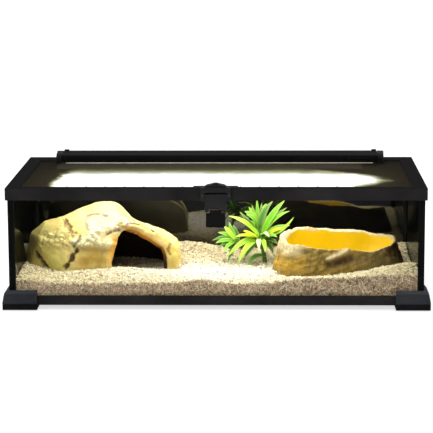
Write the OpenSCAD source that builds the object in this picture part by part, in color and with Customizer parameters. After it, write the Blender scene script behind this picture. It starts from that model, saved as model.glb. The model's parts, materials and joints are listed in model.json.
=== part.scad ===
// Low glass terrarium with a hinged mesh lid, an LED light hood, a front latch and its furnishings.
// Millimetres. +X is the length, +Y the rear, +Z up, and the pads under the feet stand on Z = 0.

/* [Tank] */
// Length over the top rim
tank_l = 800; // [780:5:820]
// Depth over the top rim
tank_w = 400; // [396:2:420]
// Height to the top of the rim
tank_h = 236; // [230:1:250]
// Height of the top frame
rim_h = 23; // [20:1:26]
// Thickness of the wall panes
pane_t = 4; // [3:0.5:5]
// Thickness of the floor pane
floor_t = 5; // [4:0.5:6]

/* [Feet] */
// Length of a foot along each wall
foot_l = 66; // [50:1:80]
// How far a foot stands out past the top rim
foot_out = 8.4; // [4:0.4:10]
// Height of a foot where it meets the post
foot_h = 38; // [36:1:42]

/* [Lid] */
// Width of the lid frame at the sides and the rear
lid_bar = 17; // [15:1:20]
// Openings in the screen form along the length
screen_cols = 30; // [10:1:30]
// Openings in the screen form along the depth
screen_rows = 10; // [5:1:10]
// Width of a strand band between two openings
screen_web = 1.6; // [1:0.2:3]

/* [Light hood] */
// Length of the housing between its end caps
hood_l = 628; // [600:2:628]
// Depth of the housing
hood_w = 75; // [70:1:75]
// LED spacing
led_pitch = 37; // [30:1:40]
// Number of LEDs
led_count = 15; // [8:1:15]

/* [Latch] */
// Width of the hasp
hasp_w = 40.8; // [36:0.2:40.8]
// Width of the pull lever
lever_w = 36.8; // [34:0.2:38]

/* [Furnishings] */
// Height of the substrate over the stand surface
bed_h = 49; // [44:1:52]
// Length of the hide cave
cave_l = 300; // [270:2:304]
// Depth of the hide cave
cave_w = 170; // [150:2:180]
// Length of the water dish
dish_l = 252; // [230:2:260]
// Depth of the water dish
dish_w = 152; // [130:2:160]
// Width of the plant's leaves against their usual width
leaf_width = 1; // [0.8:0.05:1.2]

/* [Hidden] */

$fn = 48;
black = [0.05, 0.05, 0.055];
clear = [0.8, 0.9, 0.9, 0.25];
steel = [0.8, 0.8, 0.82];
gap = 0.3;

hl = tank_l / 2;
hw = tank_w / 2;
rim_z = tank_h - rim_h;
skirt_t = 3.8;
post_x = hl - 4;
post_y = hw - 4;
post_t = 2.8;
post_leg = 12;
pane_x = hl - 7;
pane_y = hw - 7;
in_x = pane_x - pane_t;
in_y = pane_y - pane_t;
frame_x = hl - 3;
frame_y = hw - 3;
frame_z = [9.4, 27.5];
flange_t = 3;
floor_z = frame_z[0] + flange_t;
ledge_z = tank_h - 8;
seat_z = tank_h - 5;
pane_top = ledge_z - 0.2;

// The rim opening: sides, front lip, rear deck edge
rim_in_x = hl - 10;
rim_in_front = -hw + 6;
rim_in_rear = hw - 27;
lid_x = rim_in_x - 0.5;
lid_front = rim_in_front + 0.5;
lid_rear = rim_in_rear - 1;
lid_z = [seat_z + 0.2, tank_h + 0.4];
lid_front_bar = 12;

hinge_y = hw - 19;
hinge_z = tank_h + 4;
hinge_at = 200;
hinge_half = 20;
knuckle_half = 6.7;
knuckle_r = 3;
hinge_pin_r = 1.2;
leaf_t = 1.4;

inlet_x = hl - 38;
inlet_span = [hl - 70, hl - 18.3];
inlet_z = [198.3, ledge_z - 0.2];
slot_r = 8;
slot_z = [214, 224];

hood_rear = lid_rear - 2;
hood_front = hood_rear - hood_w;
hood_z = [tank_h + 2.9, tank_h + 19];
hood_half = hood_l / 2;
cap_t = 9.7;
pivot_y = hood_rear - 7;
pivot_z = tank_h + 14.5;
pivot_boss_r = 7.5;
pivot_pin_r = 2.5;
bracket_x = [hood_half + 11, hood_half + 23];
button_x = [hood_half - 51, hood_half - 3];
button_z = [hood_z[0] + 6.3, hood_z[0] + 10.4];

latch_front = -hw - 9;
latch_back = -hw - 0.6;
hasp_pivot = [-hw - 5.2, 224];
lever_pivot = [-hw - 7.6, 194];
ear_x = [21, 28.5];

cave_at = [-227, 6];
cave_r = [cave_l / 2, cave_w / 2];
dish_r = [dish_l / 2, dish_w / 2];
cave_z = 30;
cave_top = 149;
dish_at = [242, -20];
dish_turn = 14;

module slab(x, y, z) {
  translate([x[0], y[0], z[0]]) cube([x[1] - x[0], y[1] - y[0], z[1] - z[0]]);
}

module frame_ring(outer, inner, z) {
  translate([0, 0, z[0]]) linear_extrude(z[1] - z[0]) difference() {
    translate([outer[0][0], outer[1][0]]) square([outer[0][1] - outer[0][0], outer[1][1] - outer[1][0]]);
    translate([inner[0][0], inner[1][0]]) square([inner[0][1] - inner[0][0], inner[1][1] - inner[1][0]]);
  }
}

module both_ends() {
  children();
  mirror([1, 0, 0]) children();
}

module rod_x(x, y, z, r) {
  translate([x[0], y, z]) rotate([0, 90, 0]) cylinder(r = r, h = x[1] - x[0]);
}

module rod_y(x, y, z, r) {
  translate([x, y[0], z]) rotate([-90, 0, 0]) cylinder(r = r, h = y[1] - y[0]);
}

module rod_z(x, y, z, r) {
  translate([x, y, z[0]]) cylinder(r = r, h = z[1] - z[0]);
}

// A profile drawn as [y, z] points, run along X
module along_x(x) {
  translate([x[0], 0, 0]) rotate([90, 0, 90]) linear_extrude(x[1] - x[0]) children();
}

// A profile drawn as [x, z] points, run along Y
module along_y(y) {
  translate([0, y[1], 0]) rotate([90, 0, 0]) linear_extrude(y[1] - y[0]) children();
}

// Closed solid through rings of equal length: a flat bottom and a flat or pointed top
module ring_solid(rings) {
  n = len(rings[0]);
  m = len(rings);
  points = [for (r = rings) each r];
  sides = [for (k = [0 : m - 2], i = [0 : n - 1]) each let (a = k * n + i, b = k * n + (i + 1) % n)
    [[a, a + n, b], [b, a + n, b + n]]];
  bottom = [for (i = [1 : n - 2]) [0, i, i + 1]];
  top = [for (i = [1 : n - 2]) [(m - 1) * n, (m - 1) * n + i + 1, (m - 1) * n + i]];
  polyhedron(points, concat(sides, bottom, top));
}

module base_frame() color(black) {
  frame_ring([[-frame_x, frame_x], [-frame_y, frame_y]],
    [[-pane_x - 0.2, pane_x + 0.2], [-pane_y - 0.2, pane_y + 0.2]], frame_z);
  frame_ring([[-frame_x, frame_x], [-frame_y, frame_y]],
    [[-frame_x + 20, frame_x - 20], [-frame_y + 20, frame_y - 20]], [frame_z[0], floor_z]);
}

// The foot at the corner +X, +Y: vertical below, sloping in to the post above
module foot() {
  low = 16.5;
  mid = 33;
  x = [hl + foot_out - foot_l, hl + foot_out];
  y = [hw + foot_out - foot_l, hw + foot_out];
  difference() {
    union() {
      slab(x, y, [2, low]);
      hull() {
        slab(x, y, [low - 0.1, low]);
        slab([x[0], x[1] - 3], [y[0], y[1] - 3], [mid - 0.1, mid]);
      }
      hull() {
        slab([x[0], x[1] - 3], [y[0], y[1] - 3], [mid - 0.1, mid]);
        slab([x[0], x[1] - 7.4], [y[0], y[1] - 7.4], [foot_h - 0.1, foot_h]);
      }
    }
    slab([0, frame_x + 0.2], [0, frame_y + 0.2], [frame_z[0], frame_z[1] + 0.2]);
    slab([0, post_x + 0.2], [0, post_y + 0.2], [frame_z[0], foot_h + 1]);
  }
}

module foot_front_left() color(black) mirror([1, 0, 0]) mirror([0, 1, 0]) foot();
module foot_front_right() color(black) mirror([0, 1, 0]) foot();
module foot_rear_left() color(black) mirror([1, 0, 0]) foot();
module foot_rear_right() color(black) foot();

module foot_pads() color([0.12, 0.12, 0.12])
  for (sx = [-1, 1], sy = [-1, 1]) rod_z(sx * (hl - 26), sy * (hw - 26), [0, 2], 10);

module floor_glass() color(clear)
  slab([-in_x + gap, in_x - gap], [-in_y + gap, in_y - gap], [floor_z, floor_z + floor_t]);

module front_glass() color(clear)
  slab([-in_x + gap, in_x - gap], [-pane_y, -in_y], [floor_z, pane_top]);

// The rear pane has a notch at each top corner for a cable inlet
module rear_glass() color(clear) difference() {
  slab([-in_x + gap, in_x - gap], [in_y, pane_y], [floor_z, pane_top]);
  both_ends() slab([inlet_span[0] - gap, hl], [0, hw], [inlet_z[0] - gap, tank_h]);
}

module left_glass() color(clear) slab([-pane_x, -in_x], [-pane_y, pane_y], [floor_z, pane_top]);
module right_glass() color(clear) slab([in_x, pane_x], [-pane_y, pane_y], [floor_z, pane_top]);

film_t = 0.6;
film_x = post_x - post_leg - 0.5;
film_y = post_y - post_leg - 0.5;
film_z = [frame_z[1] + 0.2, rim_z - 0.2];

module rear_backing() color(black) difference() {
  slab([-film_x, film_x], [pane_y, pane_y + film_t], film_z);
  both_ends() slab([inlet_span[0] - gap, hl], [0, hw], [inlet_z[0] - gap, tank_h]);
}

module side_backings() color(black) both_ends() slab([pane_x, pane_x + film_t], [-film_y, film_y], film_z);

// A three-cornered bead of sealant in each upright corner
module silicone_seals() color([0.1, 0.1, 0.1]) {
  bead = 5;
  for (sx = [-1, 1], sy = [-1, 1])
    translate([0, 0, floor_z + floor_t]) linear_extrude((sy > 0 ? inlet_z[0] - 1 : rim_z) - floor_z - floor_t)
      polygon([[sx * in_x, sy * in_y], [sx * (in_x - bead), sy * in_y], [sx * in_x, sy * (in_y - bead)]]);
}

module post() {
  slab([post_x - post_leg, post_x], [post_y - post_t, post_y], [frame_z[1], pane_top]);
  slab([post_x - post_t, post_x], [post_y - post_leg, post_y], [frame_z[1], pane_top]);
}

module post_front_left() color(black) mirror([1, 0, 0]) mirror([0, 1, 0]) post();
module post_front_right() color(black) mirror([0, 1, 0]) post();
module post_rear_left() color(black) mirror([1, 0, 0]) post();
module post_rear_right() color(black) post();

tank_leaf_holes = [for (c = [-1, 1], s = [-1, 1]) [c * hinge_at + s * 13, hw - 9]];
lid_leaf_holes = [for (c = [-1, 1], s = [-1, 1]) [c * hinge_at + s * 13, lid_rear - 8]];
screw_r = 1.1;
screw_head_r = 2.2;

// Outer wall round the posts and the upper edges of the panes, with the rim at the front and the sides
module top_frame() color(black) {
  inner = [hl - skirt_t, hw - skirt_t];
  difference() {
    frame_ring([[-hl, hl], [-hw, hw]], [[-inner[0], inner[0]], [-inner[1], inner[1]]], [rim_z, tank_h]);
    both_ends() slab([inlet_span[0] - gap, inlet_span[1] + gap], [in_y, hw + 1], [0, ledge_z]);
  }
  frame_ring([[-inner[0], inner[0]], [-inner[1], inner[1]]],
    [[-rim_in_x, rim_in_x], [rim_in_front, inner[1]]], [seat_z, tank_h]);
}

// Seat inside that wall: the ledge that the lid rests on, and the rear deck that carries the hinges
module lid_seat() color(black) {
  wall = [hl - skirt_t, hw - skirt_t];
  difference() {
    union() {
      frame_ring([[-wall[0], wall[0]], [-wall[1], wall[1]]],
        [[-hl + 22, hl - 22], [-hw + 18, rim_in_rear - 10]], [ledge_z, seat_z]);
      slab([-rim_in_x, rim_in_x], [rim_in_rear, wall[1]], [seat_z - 0.1, tank_h]);
    }
    for (p = tank_leaf_holes) rod_z(p[0], p[1], [tank_h - 4, tank_h + 1], screw_r);
  }
}

module latch_keeper() color(steel) slab([-12, 12], [-hw - 1.2, -hw], [rim_z + 0.3, rim_z + 9]);

// Housing in the notch of the rear pane, with the cable slot and the two rails of the gate
module cable_inlet() {
  difference() {
    slab(inlet_span, [in_y - 0.5, hw], inlet_z);
    rod_y(inlet_x, [in_y - 1, hw + 1], slot_z[0], slot_r);
    slab([inlet_x - slot_r, inlet_x + slot_r], [in_y - 1, hw + 1], slot_z);
  }
  rail = [in_y - 5, in_y - 0.5];
  lip = [in_y - 5, in_y - 3.1];
  slab(inlet_span, rail, [inlet_z[0] + 2, inlet_z[0] + 5.4]);
  slab(inlet_span, lip, [inlet_z[0] + 5.4, inlet_z[0] + 7]);
  slab(inlet_span, rail, [inlet_z[1] - 1.2, inlet_z[1]]);
  slab(inlet_span, lip, [inlet_z[1] - 2.8, inlet_z[1] - 1.2]);
}

module cable_inlet_left() color(black) mirror([1, 0, 0]) cable_inlet();
module cable_inlet_right() color(black) cable_inlet();

// Tongue with a round lower end that slides in the rails, towards the middle of the tank
module cable_gate() {
  half = 9.5;
  y = [in_y - 2.8, in_y - 0.8];
  top = inlet_z[1] - 1.5;
  rod_y(inlet_x, y, inlet_z[0] + 5.7 + half, half);
  slab([inlet_x - half, inlet_x + half], y, [inlet_z[0] + 5.7 + half, top]);
  slab([inlet_x - 6, inlet_x + 6], [y[0] - 1.6, y[0]], [inlet_z[0] + 13, inlet_z[0] + 14.6]);
}

module cable_gate_left() color(black) mirror([1, 0, 0]) cable_gate();
module cable_gate_right() color(black) cable_gate();

module tank_hinge_leaves() color(black) for (c = [-hinge_at, hinge_at]) difference() {
  union() {
    slab([c - hinge_half, c + hinge_half], [hinge_y + 3.4, hw - 3], [tank_h, tank_h + leaf_t]);
    for (x = [[c - hinge_half, c - knuckle_half - gap], [c + knuckle_half + gap, c + hinge_half]]) {
      slab(x, [hinge_y, hinge_y + 4], [tank_h, tank_h + 4]);
      rod_x(x, hinge_y, hinge_z, knuckle_r);
    }
  }
  rod_x([c - hinge_half - 1, c + hinge_half + 1], hinge_y, hinge_z, hinge_pin_r + 0.06);
  for (p = tank_leaf_holes) rod_z(p[0], p[1], [tank_h - 1, tank_h + 3], screw_r);
}

module tank_hinge_screws() color(steel) for (p = tank_leaf_holes) {
  rod_z(p[0], p[1], [tank_h - 4, tank_h + leaf_t], screw_r);
  rod_z(p[0], p[1], [tank_h + leaf_t, tank_h + leaf_t + 1.2], screw_head_r);
}

// Heaps and hollows of the loose bed: height, then middle and reach along X, then along Y
heaps = [[14, -65, 68, 150, 50], [12, 375, 55, 150, 60], [10, -370, 60, 140, 70], [-7, 30, 50, 178, 42],
  [-5, 85, 80, -10, 60], [9, -385, 60, -165, 50], [8, -392, 45, -60, 60], [10, -30, 40, -198, 38],
  [10, 168, 58, -200, 42], [15, 320, 105, -200, 42], [26, 395, 88, -112, 62], [12, -190, 80, -98, 36],
  [-5, 178, 60, -92, 30]];

// Height of the bed at a place on the floor
function bed(x, y) = bed_h + 2.5 * sin(0.9 * x + 40) * cos(1.3 * y)
  + [for (h = heaps) h[0]] * [for (h = heaps) exp(-pow((x - h[1]) / h[2], 2) - pow((y - h[3]) / h[4], 2))];

module substrate() color([0.85, 0.76, 0.6]) {
  cols = 32;
  rows = 16;
  x = function(i) -in_x + 0.5 + i * (2 * in_x - 1) / cols;
  y = function(j) -in_y + 0.5 + j * (2 * in_y - 1) / rows;
  w = cols + 1;
  base = w * (rows + 1);
  points = concat(
    [for (j = [0 : rows], i = [0 : cols]) [x(i), y(j), bed(x(i), y(j))]],
    [for (j = [0 : rows], i = [0 : cols]) [x(i), y(j), floor_z + floor_t]]);
  cells = [for (j = [0 : rows - 1], i = [0 : cols - 1]) j * w + i];
  edge = concat(
    [for (i = [0 : cols - 1]) [i, i + 1]],
    [for (j = [0 : rows - 1]) [j * w + cols, (j + 1) * w + cols]],
    [for (i = [0 : cols - 1]) [rows * w + i + 1, rows * w + i]],
    [for (j = [0 : rows - 1]) [(j + 1) * w, j * w]]);
  polyhedron(points, concat(
    [for (a = cells) each [[a, a + w, a + w + 1], [a, a + w + 1, a + 1]]],
    [for (a = cells) each [
      [base + a, base + a + w + 1, base + a + w], [base + a, base + a + 1, base + a + w + 1]]],
    [for (e = edge) each [[e[0], e[1], base + e[1]], [e[0], base + e[1], base + e[0]]]]));
}

// How far out the cave's wall stands at each share of its height, on the side it faces
wall_left = [[0, 1.01], [0.154, 1.013], [0.275, 1], [0.517, 0.96], [0.651, 0.78], [0.805, 0.52],
  [0.953, 0.207], [1, 0.02]];
wall_right = [[0, 1], [0.2, 1], [0.43, 0.99], [0.64, 0.96], [0.77, 0.873], [0.86, 0.747], [0.933, 0.62],
  [0.985, 0.5], [1, 0.02]];
wall_front = [[0, 1], [0.3, 0.98], [0.5, 0.93], [0.7, 0.82], [0.85, 0.63], [0.95, 0.38], [1, 0.02]];
function cave_wall(share, c) = let (left = pow(max(0, -c), 1.5), right = pow(max(0, c), 1.5))
  left * lookup(share, wall_left) + right * lookup(share, wall_right)
  + (1 - left - right) * lookup(share, wall_front);

// One level ring of the cave: t runs from 0 at the foot to 1 at the crown, cut is the wall thickness
function cave_ring(t, cut, low) = [for (i = [0 : 47]) let (
    a = i * 7.5,
    rough = cut > 0 ? 1 : 1 + 0.022 * sin(5 * a + 80 * t) + 0.014 * sin(11 * a - 140 * t),
    f = cave_wall(sin(89 * t), cos(a)) * rough,
    x = (cave_r[0] - cut) * f * cos(a),
    y = (cave_r[1] - cut) * f * sin(a),
    shoulder = 1 / (1 + exp(-(x - 43) / 8)),
    tall = cave_top - cut - 38 * shoulder)
  [cave_at[0] + x, cave_at[1] + y, low + tall * sin(89 * t)]];

// The mouth's edge from its left foot over the apex to its right foot
cave_mouth = [[-222, -72, 34], [-221, -75, 62], [-215, -72, 92], [-205, -64, 124], [-188, -58, 147],
  [-158, -57, 138], [-128, -54, 122], [-104, -48, 102], [-94, -42, 76], [-94, -38, 34]];

// The opening that the mouth leaves free, as [x, z]
cave_way = [[-209, 20], [-209, 66], [-203, 89], [-196, 118], [-187, 131], [-162, 124], [-134, 107],
  [-115, 90], [-108, 70], [-108, 20]];

module hide_cave() color([0.85, 0.74, 0.45]) difference() {
  levels = [0, 0.1, 0.22, 0.34, 0.46, 0.58, 0.7, 0.82, 0.92, 1];
  wall = 15;
  lip_r = 14.5;
  union() {
    ring_solid([for (t = levels) cave_ring(t, 0, cave_z)]);
    for (i = [0 : len(cave_mouth) - 2]) hull() {
      translate(cave_mouth[i]) sphere(r = lip_r + 1.5 * sin(140 * i), $fn = 14);
      translate(cave_mouth[i + 1]) sphere(r = lip_r + 1.5 * sin(140 * (i + 1)), $fn = 14);
    }
  }
  ring_solid([for (t = levels) cave_ring(t, wall, cave_z - 1)]);
  along_y([-140, -20]) polygon(cave_way);
  slab([-400, 0], [-140, 140], [0, cave_z]);
}

function dish_ring(k, z, lift) = [for (i = [0 : 47]) let (
    a = i * 7.5,
    rough = 1 + 0.03 * sin(4 * a + 30) + 0.018 * sin(9 * a + 25 * lift),
    c = cos(a),
    s = sin(a),
    power = c < 0 ? 3 : (s < 0 ? 1.8 : 2.3),
    square_off = pow(pow(abs(c), power) + pow(abs(s), power), -1 / power),
    x = dish_r[0] * k * rough * c * square_off,
    y = dish_r[1] * k * rough * s * square_off)
  [dish_at[0] + x * cos(dish_turn) - y * sin(dish_turn),
   dish_at[1] + x * sin(dish_turn) + y * cos(dish_turn),
   z + lift * (10 * s - 8 * c + 1.6 * sin(3 * a + 60) + 1.6 * sin(7 * a))]];

module water_dish() color([0.93, 0.7, 0.1]) ring_solid([
  dish_ring(1.01, 31, 0), dish_ring(1.05, 47, 0), dish_ring(1.02, 64, 0.3), dish_ring(0.965, 86, 0.8),
  dish_ring(0.935, 100, 1), dish_ring(0.9, 105, 1), dish_ring(0.865, 101, 1),
  dish_ring(0.83, 80, 0.5), dish_ring(0.785, 66, 0), dish_ring(0.5, 61, 0)]);

// A straight ten-sided twig between two points
module twig(a, b, r) {
  ahead = (b - a) / norm(b - a);
  across = cross(ahead, [0, 1, 0]);
  side = across / norm(across);
  ring_solid([for (end = [a, b]) [for (i = [0 : 9])
    end + r * (side * cos(36 * i) + cross(ahead, side) * sin(36 * i))]]);
}

// A faceted lump, for the place where a tuft of leaves starts
module lump(at, r) ring_solid([for (k = [[0.45, -0.95], [0.9, -0.45], [1, 0], [0.9, 0.45], [0.45, 0.95]])
  [for (i = [0 : 9]) at + r * [k[0] * cos(36 * i + 7), k[0] * sin(36 * i + 7), k[1]]]]);

module plant_stem() color([0.3, 0.55, 0.15]) {
  rod_z(96, 24, [30, 34], 16);
  twig([96, 24, 31], crown[0], 4.5);
  twig([90, 27, 76], crown[1], 3);
  twig(crown[0], crown[2], 3);
  for (c = crown) lump(c, 7);
}

// Middles of the three tufts of leaves: the main one, the left one and the upper one
crown = [[87, 28, 95], [35, 26, 89], [80, 34, 122]];

// Leaves: root, tip, half of the width at the middle, and how far the middle is bowed
leaf_rows = [
  [[79, 35, 124], [77, 44, 172], 3.6, [0, 0, 0]], [[80, 34, 124], [67, 30, 164], 3.8, [-1, 0, -2]],
  [[80, 34, 122], [87, 60, 162], 3.4, [0, 0, 0]], [[84, 29, 98], [109, 50, 168], 7, [-9, -5, 6]],
  [[88, 28, 99], [133, 14, 176], 6.6, [-5, -6, 4]], [[89, 30, 98], [138, 66, 152], 4.6, [-4, 0, 5]],
  [[90, 28, 99], [143, 10, 155], 5.4, [-7, -6, 8]], [[90, 26, 98], [151, -2, 145], 4.4, [5, -4, -6]],
  [[90, 29, 96], [144, 36, 120], 5.8, [-2, -4, 8]], [[91, 27, 95], [134, 8, 120], 5.4, [-3, -3, 6]],
  [[79, 34, 120], [52, 30, 151], 6.4, [3, -4, 6]], [[79, 31, 119], [56, 8, 148], 5.4, [3, -4, 5]],
  [[83, 29, 96], [42, 54, 145], 4.8, [0, 0, 3]], [[83, 28, 96], [20, 20, 143], 6, [5, -4, 8]],
  [[85, 29, 102], [102, -18, 107], 3.8, [0, -2, 7]], [[83, 26, 95], [82, -24, 78], 4.4, [-2, -5, 9]],
  [[86, 25, 94], [94, -22, 76], 4.8, [1, -4, 8]], [[90, 28, 94], [118, -8, 105], 4.6, [0, -2, 7]],
  [[90, 28, 90], [118, 0, 90], 5.4, [2, -2, 5]], [[90, 28, 87], [110, 4, 68], 5, [3, -2, 5]],
  [[38, 27, 89], [21, 38, 127], 5, [-3, -2, 0]], [[36, 26, 90], [11, 28, 121], 5, [-2, -3, 3]],
  [[41, 26, 88], [29, 62, 116], 4.2, [0, 0, 3]], [[34, 26, 91], [-2, 34, 106], 4.8, [0, -2, 5]],
  [[33, 25, 90], [-13, 22, 92], 4.4, [0, -2, 7]], [[34, 24, 88], [-6, 6, 90], 4.6, [0, -3, 6]],
  [[34, 25, 88], [-1, 0, 80], 4, [0, -2, 6]], [[36, 23, 88], [11, -16, 74], 4.6, [-3, -3, 6]],
  [[83, 27, 94], [36, -8, 106], 5.6, [-2, -5, 6]], [[83, 27, 95], [50, -16, 119], 5.6, [-3, -6, 4]],
  [[84, 26, 93], [16, -6, 63], 6, [2, -7, 16]], [[86, 26, 92], [39, -18, 53], 6, [-2, -7, 15]],
  [[40, 26, 88], [19, 4, 52], 5.4, [0, -3, 8]], [[94, 24, 60], [59, -8, 47], 5.6, [-4, -4, 9]],
  [[84, 28, 92], [49, 14, 52], 5, [0, -2, 7]], [[86, 31, 96], [58, 92, 120], 5.8, [0, 4, 8]],
  [[88, 31, 96], [100, 100, 128], 6.2, [0, 4, 8]], [[90, 31, 94], [126, 82, 100], 5.6, [0, 3, 8]],
  [[86, 31, 92], [70, 86, 70], 5.4, [0, 4, 11]], [[88, 31, 92], [112, 78, 64], 5.4, [2, 3, 11]],
  [[81, 36, 123], [96, 74, 159], 4.8, [0, 3, 4]], [[79, 36, 123], [60, 70, 152], 4.8, [0, 3, 4]],
  [[34, 29, 90], [14, 62, 102], 5, [0, 3, 7]], [[38, 29, 90], [44, 70, 94], 5, [0, 4, 8]],
  [[34, 29, 88], [6, 54, 80], 4.6, [0, 3, 7]], [[83, 29, 94], [42, 66, 74], 5.2, [0, 4, 9]]];

// Along a leaf: share of its length, share of its width, half of its thickness
leaf_shape = [[0, 0.5, 2.1], [0.28, 0.94, 2.1], [0.6, 0.92, 1.7], [0.84, 0.5, 1.1], [1, 0.1, 0.4]];

// The way that the flat side of a leaf looks
leaf_faces = [0, -0.6, 0.8];

module leaf(root, tip, half, bow) {
  ahead = (tip - root) / norm(tip - root);
  across = cross(ahead, leaf_faces);
  side = half * across / norm(across);
  lift = cross(ahead, side) / half;
  ring_solid([for (p = leaf_shape) let (mid = root + (tip - root) * p[0] + bow * 4 * p[0] * (1 - p[0]))
    [mid + side * p[1], mid + lift * p[2], mid - side * p[1], mid - lift * p[2]]]);
}

module plant_leaves() color([0.5, 0.8, 0.15])
  for (r = leaf_rows) leaf(r[0], r[1], r[2] * leaf_width, r[3]);

module lid_frame() color(black) difference() {
  frame_ring([[-lid_x, lid_x], [lid_front, lid_rear]],
    [[-lid_x + lid_bar, lid_x - lid_bar], [lid_front + lid_front_bar, lid_rear - lid_bar]], lid_z);
  slab([-screen_x, screen_x], screen_y, [lid_z[0] - 1, screen_z[1] + 0.1]);
  for (p = lid_leaf_holes) rod_z(p[0], p[1], [lid_z[1] - 4, lid_z[1] + 1], screw_r);
  both_ends() bracket_hole();
}

// Rebate in the underside of the lid frame that takes the screen and its spline
screen_x = lid_x - lid_bar + 5;
screen_y = [lid_front + lid_front_bar - 5, lid_rear - lid_bar + 5];
screen_z = [lid_z[0] + 1.7, lid_z[0] + 2.5];
spline_w = 3;

module lid_screen() color([0.1, 0.1, 0.1]) {
  margin = 5.2;
  span = [2 * (screen_x - margin), screen_y[1] - screen_y[0] - 2 * margin];
  pitch = [span[0] / screen_cols, span[1] / screen_rows];
  translate([0, 0, screen_z[0]]) linear_extrude(screen_z[1] - screen_z[0]) difference() {
    translate([-screen_x + 0.2, screen_y[0] + 0.2])
      square([2 * screen_x - 0.4, screen_y[1] - screen_y[0] - 0.4]);
    for (i = [0 : screen_cols - 1], j = [0 : screen_rows - 1])
      translate([-screen_x + margin + i * pitch[0] + screen_web / 2,
        screen_y[0] + margin + j * pitch[1] + screen_web / 2])
        square([pitch[0] - screen_web, pitch[1] - screen_web]);
  }
}

module screen_spline() color([0.15, 0.15, 0.15]) frame_ring(
  [[-screen_x + 0.2, screen_x - 0.2], [screen_y[0] + 0.2, screen_y[1] - 0.2]],
  [[-screen_x + spline_w, screen_x - spline_w], [screen_y[0] + spline_w, screen_y[1] - spline_w]],
  [lid_z[0] + 0.1, screen_z[0]]);

module lid_hinge_leaves() color(black) for (c = [-hinge_at, hinge_at]) difference() {
  union() {
    slab([c - hinge_half, c + hinge_half], [lid_rear - 13, hinge_y - 3.4], [lid_z[1], lid_z[1] + leaf_t]);
    slab([c - knuckle_half, c + knuckle_half], [hinge_y - 4, hinge_y], [lid_z[1], lid_z[1] + 3]);
    rod_x([c - knuckle_half, c + knuckle_half], hinge_y, hinge_z, knuckle_r);
  }
  rod_x([c - hinge_half, c + hinge_half], hinge_y, hinge_z, hinge_pin_r + 0.02);
  for (p = lid_leaf_holes) rod_z(p[0], p[1], [lid_z[1] - 1, lid_z[1] + 3], screw_r);
}

module lid_hinge_screws() color(steel) for (p = lid_leaf_holes)
  rod_z(p[0], p[1], [lid_z[1] - 4, lid_z[1] + leaf_t], screw_r);

module lid_hinge_pins() color(steel) for (c = [-hinge_at, hinge_at])
  rod_x([c - hinge_half, c + hinge_half], hinge_y, hinge_z, hinge_pin_r);

// Plate over the front lip, domed boss, front apron and the two ears that hold the hasp
module latch_bezel() color(black) difference() {
  union() {
    slab([-42.5, 42.5], [-hw + 0.5, lid_front + lid_front_bar - 0.5], [lid_z[1], lid_z[1] + 2.4]);
    slab([-ear_x[1], ear_x[1]], [latch_front, -hw + 1], [lid_z[1], lid_z[1] + 2.4]);
    slab([-ear_x[1], ear_x[1]], [latch_front, latch_back], [229.6, lid_z[1] + 1]);
    both_ends() slab(ear_x, [latch_front, latch_back], [rim_z, 230]);
    along_y([latch_front + 3, lid_front + 6])
      polygon([[-22, lid_z[1] + 2], [22, lid_z[1] + 2], for (a = [20 : 10 : 160])
        [21 * cos(a), lid_z[1] + 2.2 + 6 * sin(a)]]);
    along_y([latch_front + 6, lid_front + 3])
      polygon([[-8, lid_z[1] + 7], [8, lid_z[1] + 7], for (a = [0 : 15 : 180])
        [7.5 * cos(a), lid_z[1] + 7.5 + 2.4 * sin(a)]]);
  }
  rod_x([-ear_x[0] - 1.6, ear_x[0] + 1.6], hasp_pivot[0], hasp_pivot[1], 1.62);
  both_ends() rod_y(rivet_x, [latch_front - 1, latch_front + 6], hasp_pivot[1], 1);
}

rivet_x = 24.9;

module latch_rivets() color(steel) both_ends() {
  rod_y(rivet_x, [latch_front, latch_front + 6], hasp_pivot[1], 1);
  translate([rivet_x, latch_front, hasp_pivot[1]]) rotate([90, 0, 0])
    rotate_extrude() polygon([[0, 0], [1.9, 0], [1.6, 0.7], [0.9, 1.15], [0, 1.3]]);
}

module latch_upper_pin() color(steel)
  rod_x([-ear_x[0] - 1.4, ear_x[0] + 1.4], hasp_pivot[0], hasp_pivot[1], 1.6);

module latch_hasp() color(black) {
  x = hasp_w / 2;
  plate = [latch_front - 0.6, latch_front + 2.6];
  difference() {
    union() {
      rod_x([-x, x], hasp_pivot[0], hasp_pivot[1], 4);
      slab([-x, x], plate, [199.4, hasp_pivot[1]]);
      slab([-x, -lever_w / 3], plate, [lever_pivot[1], 200]);
      slab([lever_w / 3, x], plate, [lever_pivot[1], 200]);
      rod_x([-x, -lever_w / 3], lever_pivot[0], lever_pivot[1], 2.6);
      rod_x([lever_w / 3, x], lever_pivot[0], lever_pivot[1], 2.6);
      slab([-8, 8], [latch_front + 2, latch_front + 7.6], [rim_z - 5, rim_z - 0.8]);
      slab([-x + 3, x - 3], [latch_front - 1.4, latch_front], [202, 204]);
    }
    rod_x([-x - 1, x + 1], hasp_pivot[0], hasp_pivot[1], 1.66);
    rod_x([-x - 1, x + 1], lever_pivot[0], lever_pivot[1], 1.12);
  }
}

module latch_lower_pin() color(steel)
  rod_x([-hasp_w / 2, hasp_w / 2], lever_pivot[0], lever_pivot[1], 1.1);

module latch_lever() color(black) {
  x = lever_w / 2;
  inner = lever_w / 3 - 0.5;
  plate = [lever_pivot[0] - 1.6, lever_pivot[0] + 1.2];
  round_r = 5;
  difference() {
    union() {
      rod_x([-inner, inner], lever_pivot[0], lever_pivot[1], 2.6);
      slab([-inner, inner], plate, [188, lever_pivot[1]]);
      slab([-x, x], plate, [163 + round_r, 190.6]);
      slab([-x + round_r, x - round_r], plate, [163, 163 + round_r]);
      both_ends() rod_y(x - round_r, plate, 163 + round_r, round_r);
    }
    rod_x([-x, x], lever_pivot[0], lever_pivot[1], 1.16);
  }
}

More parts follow.
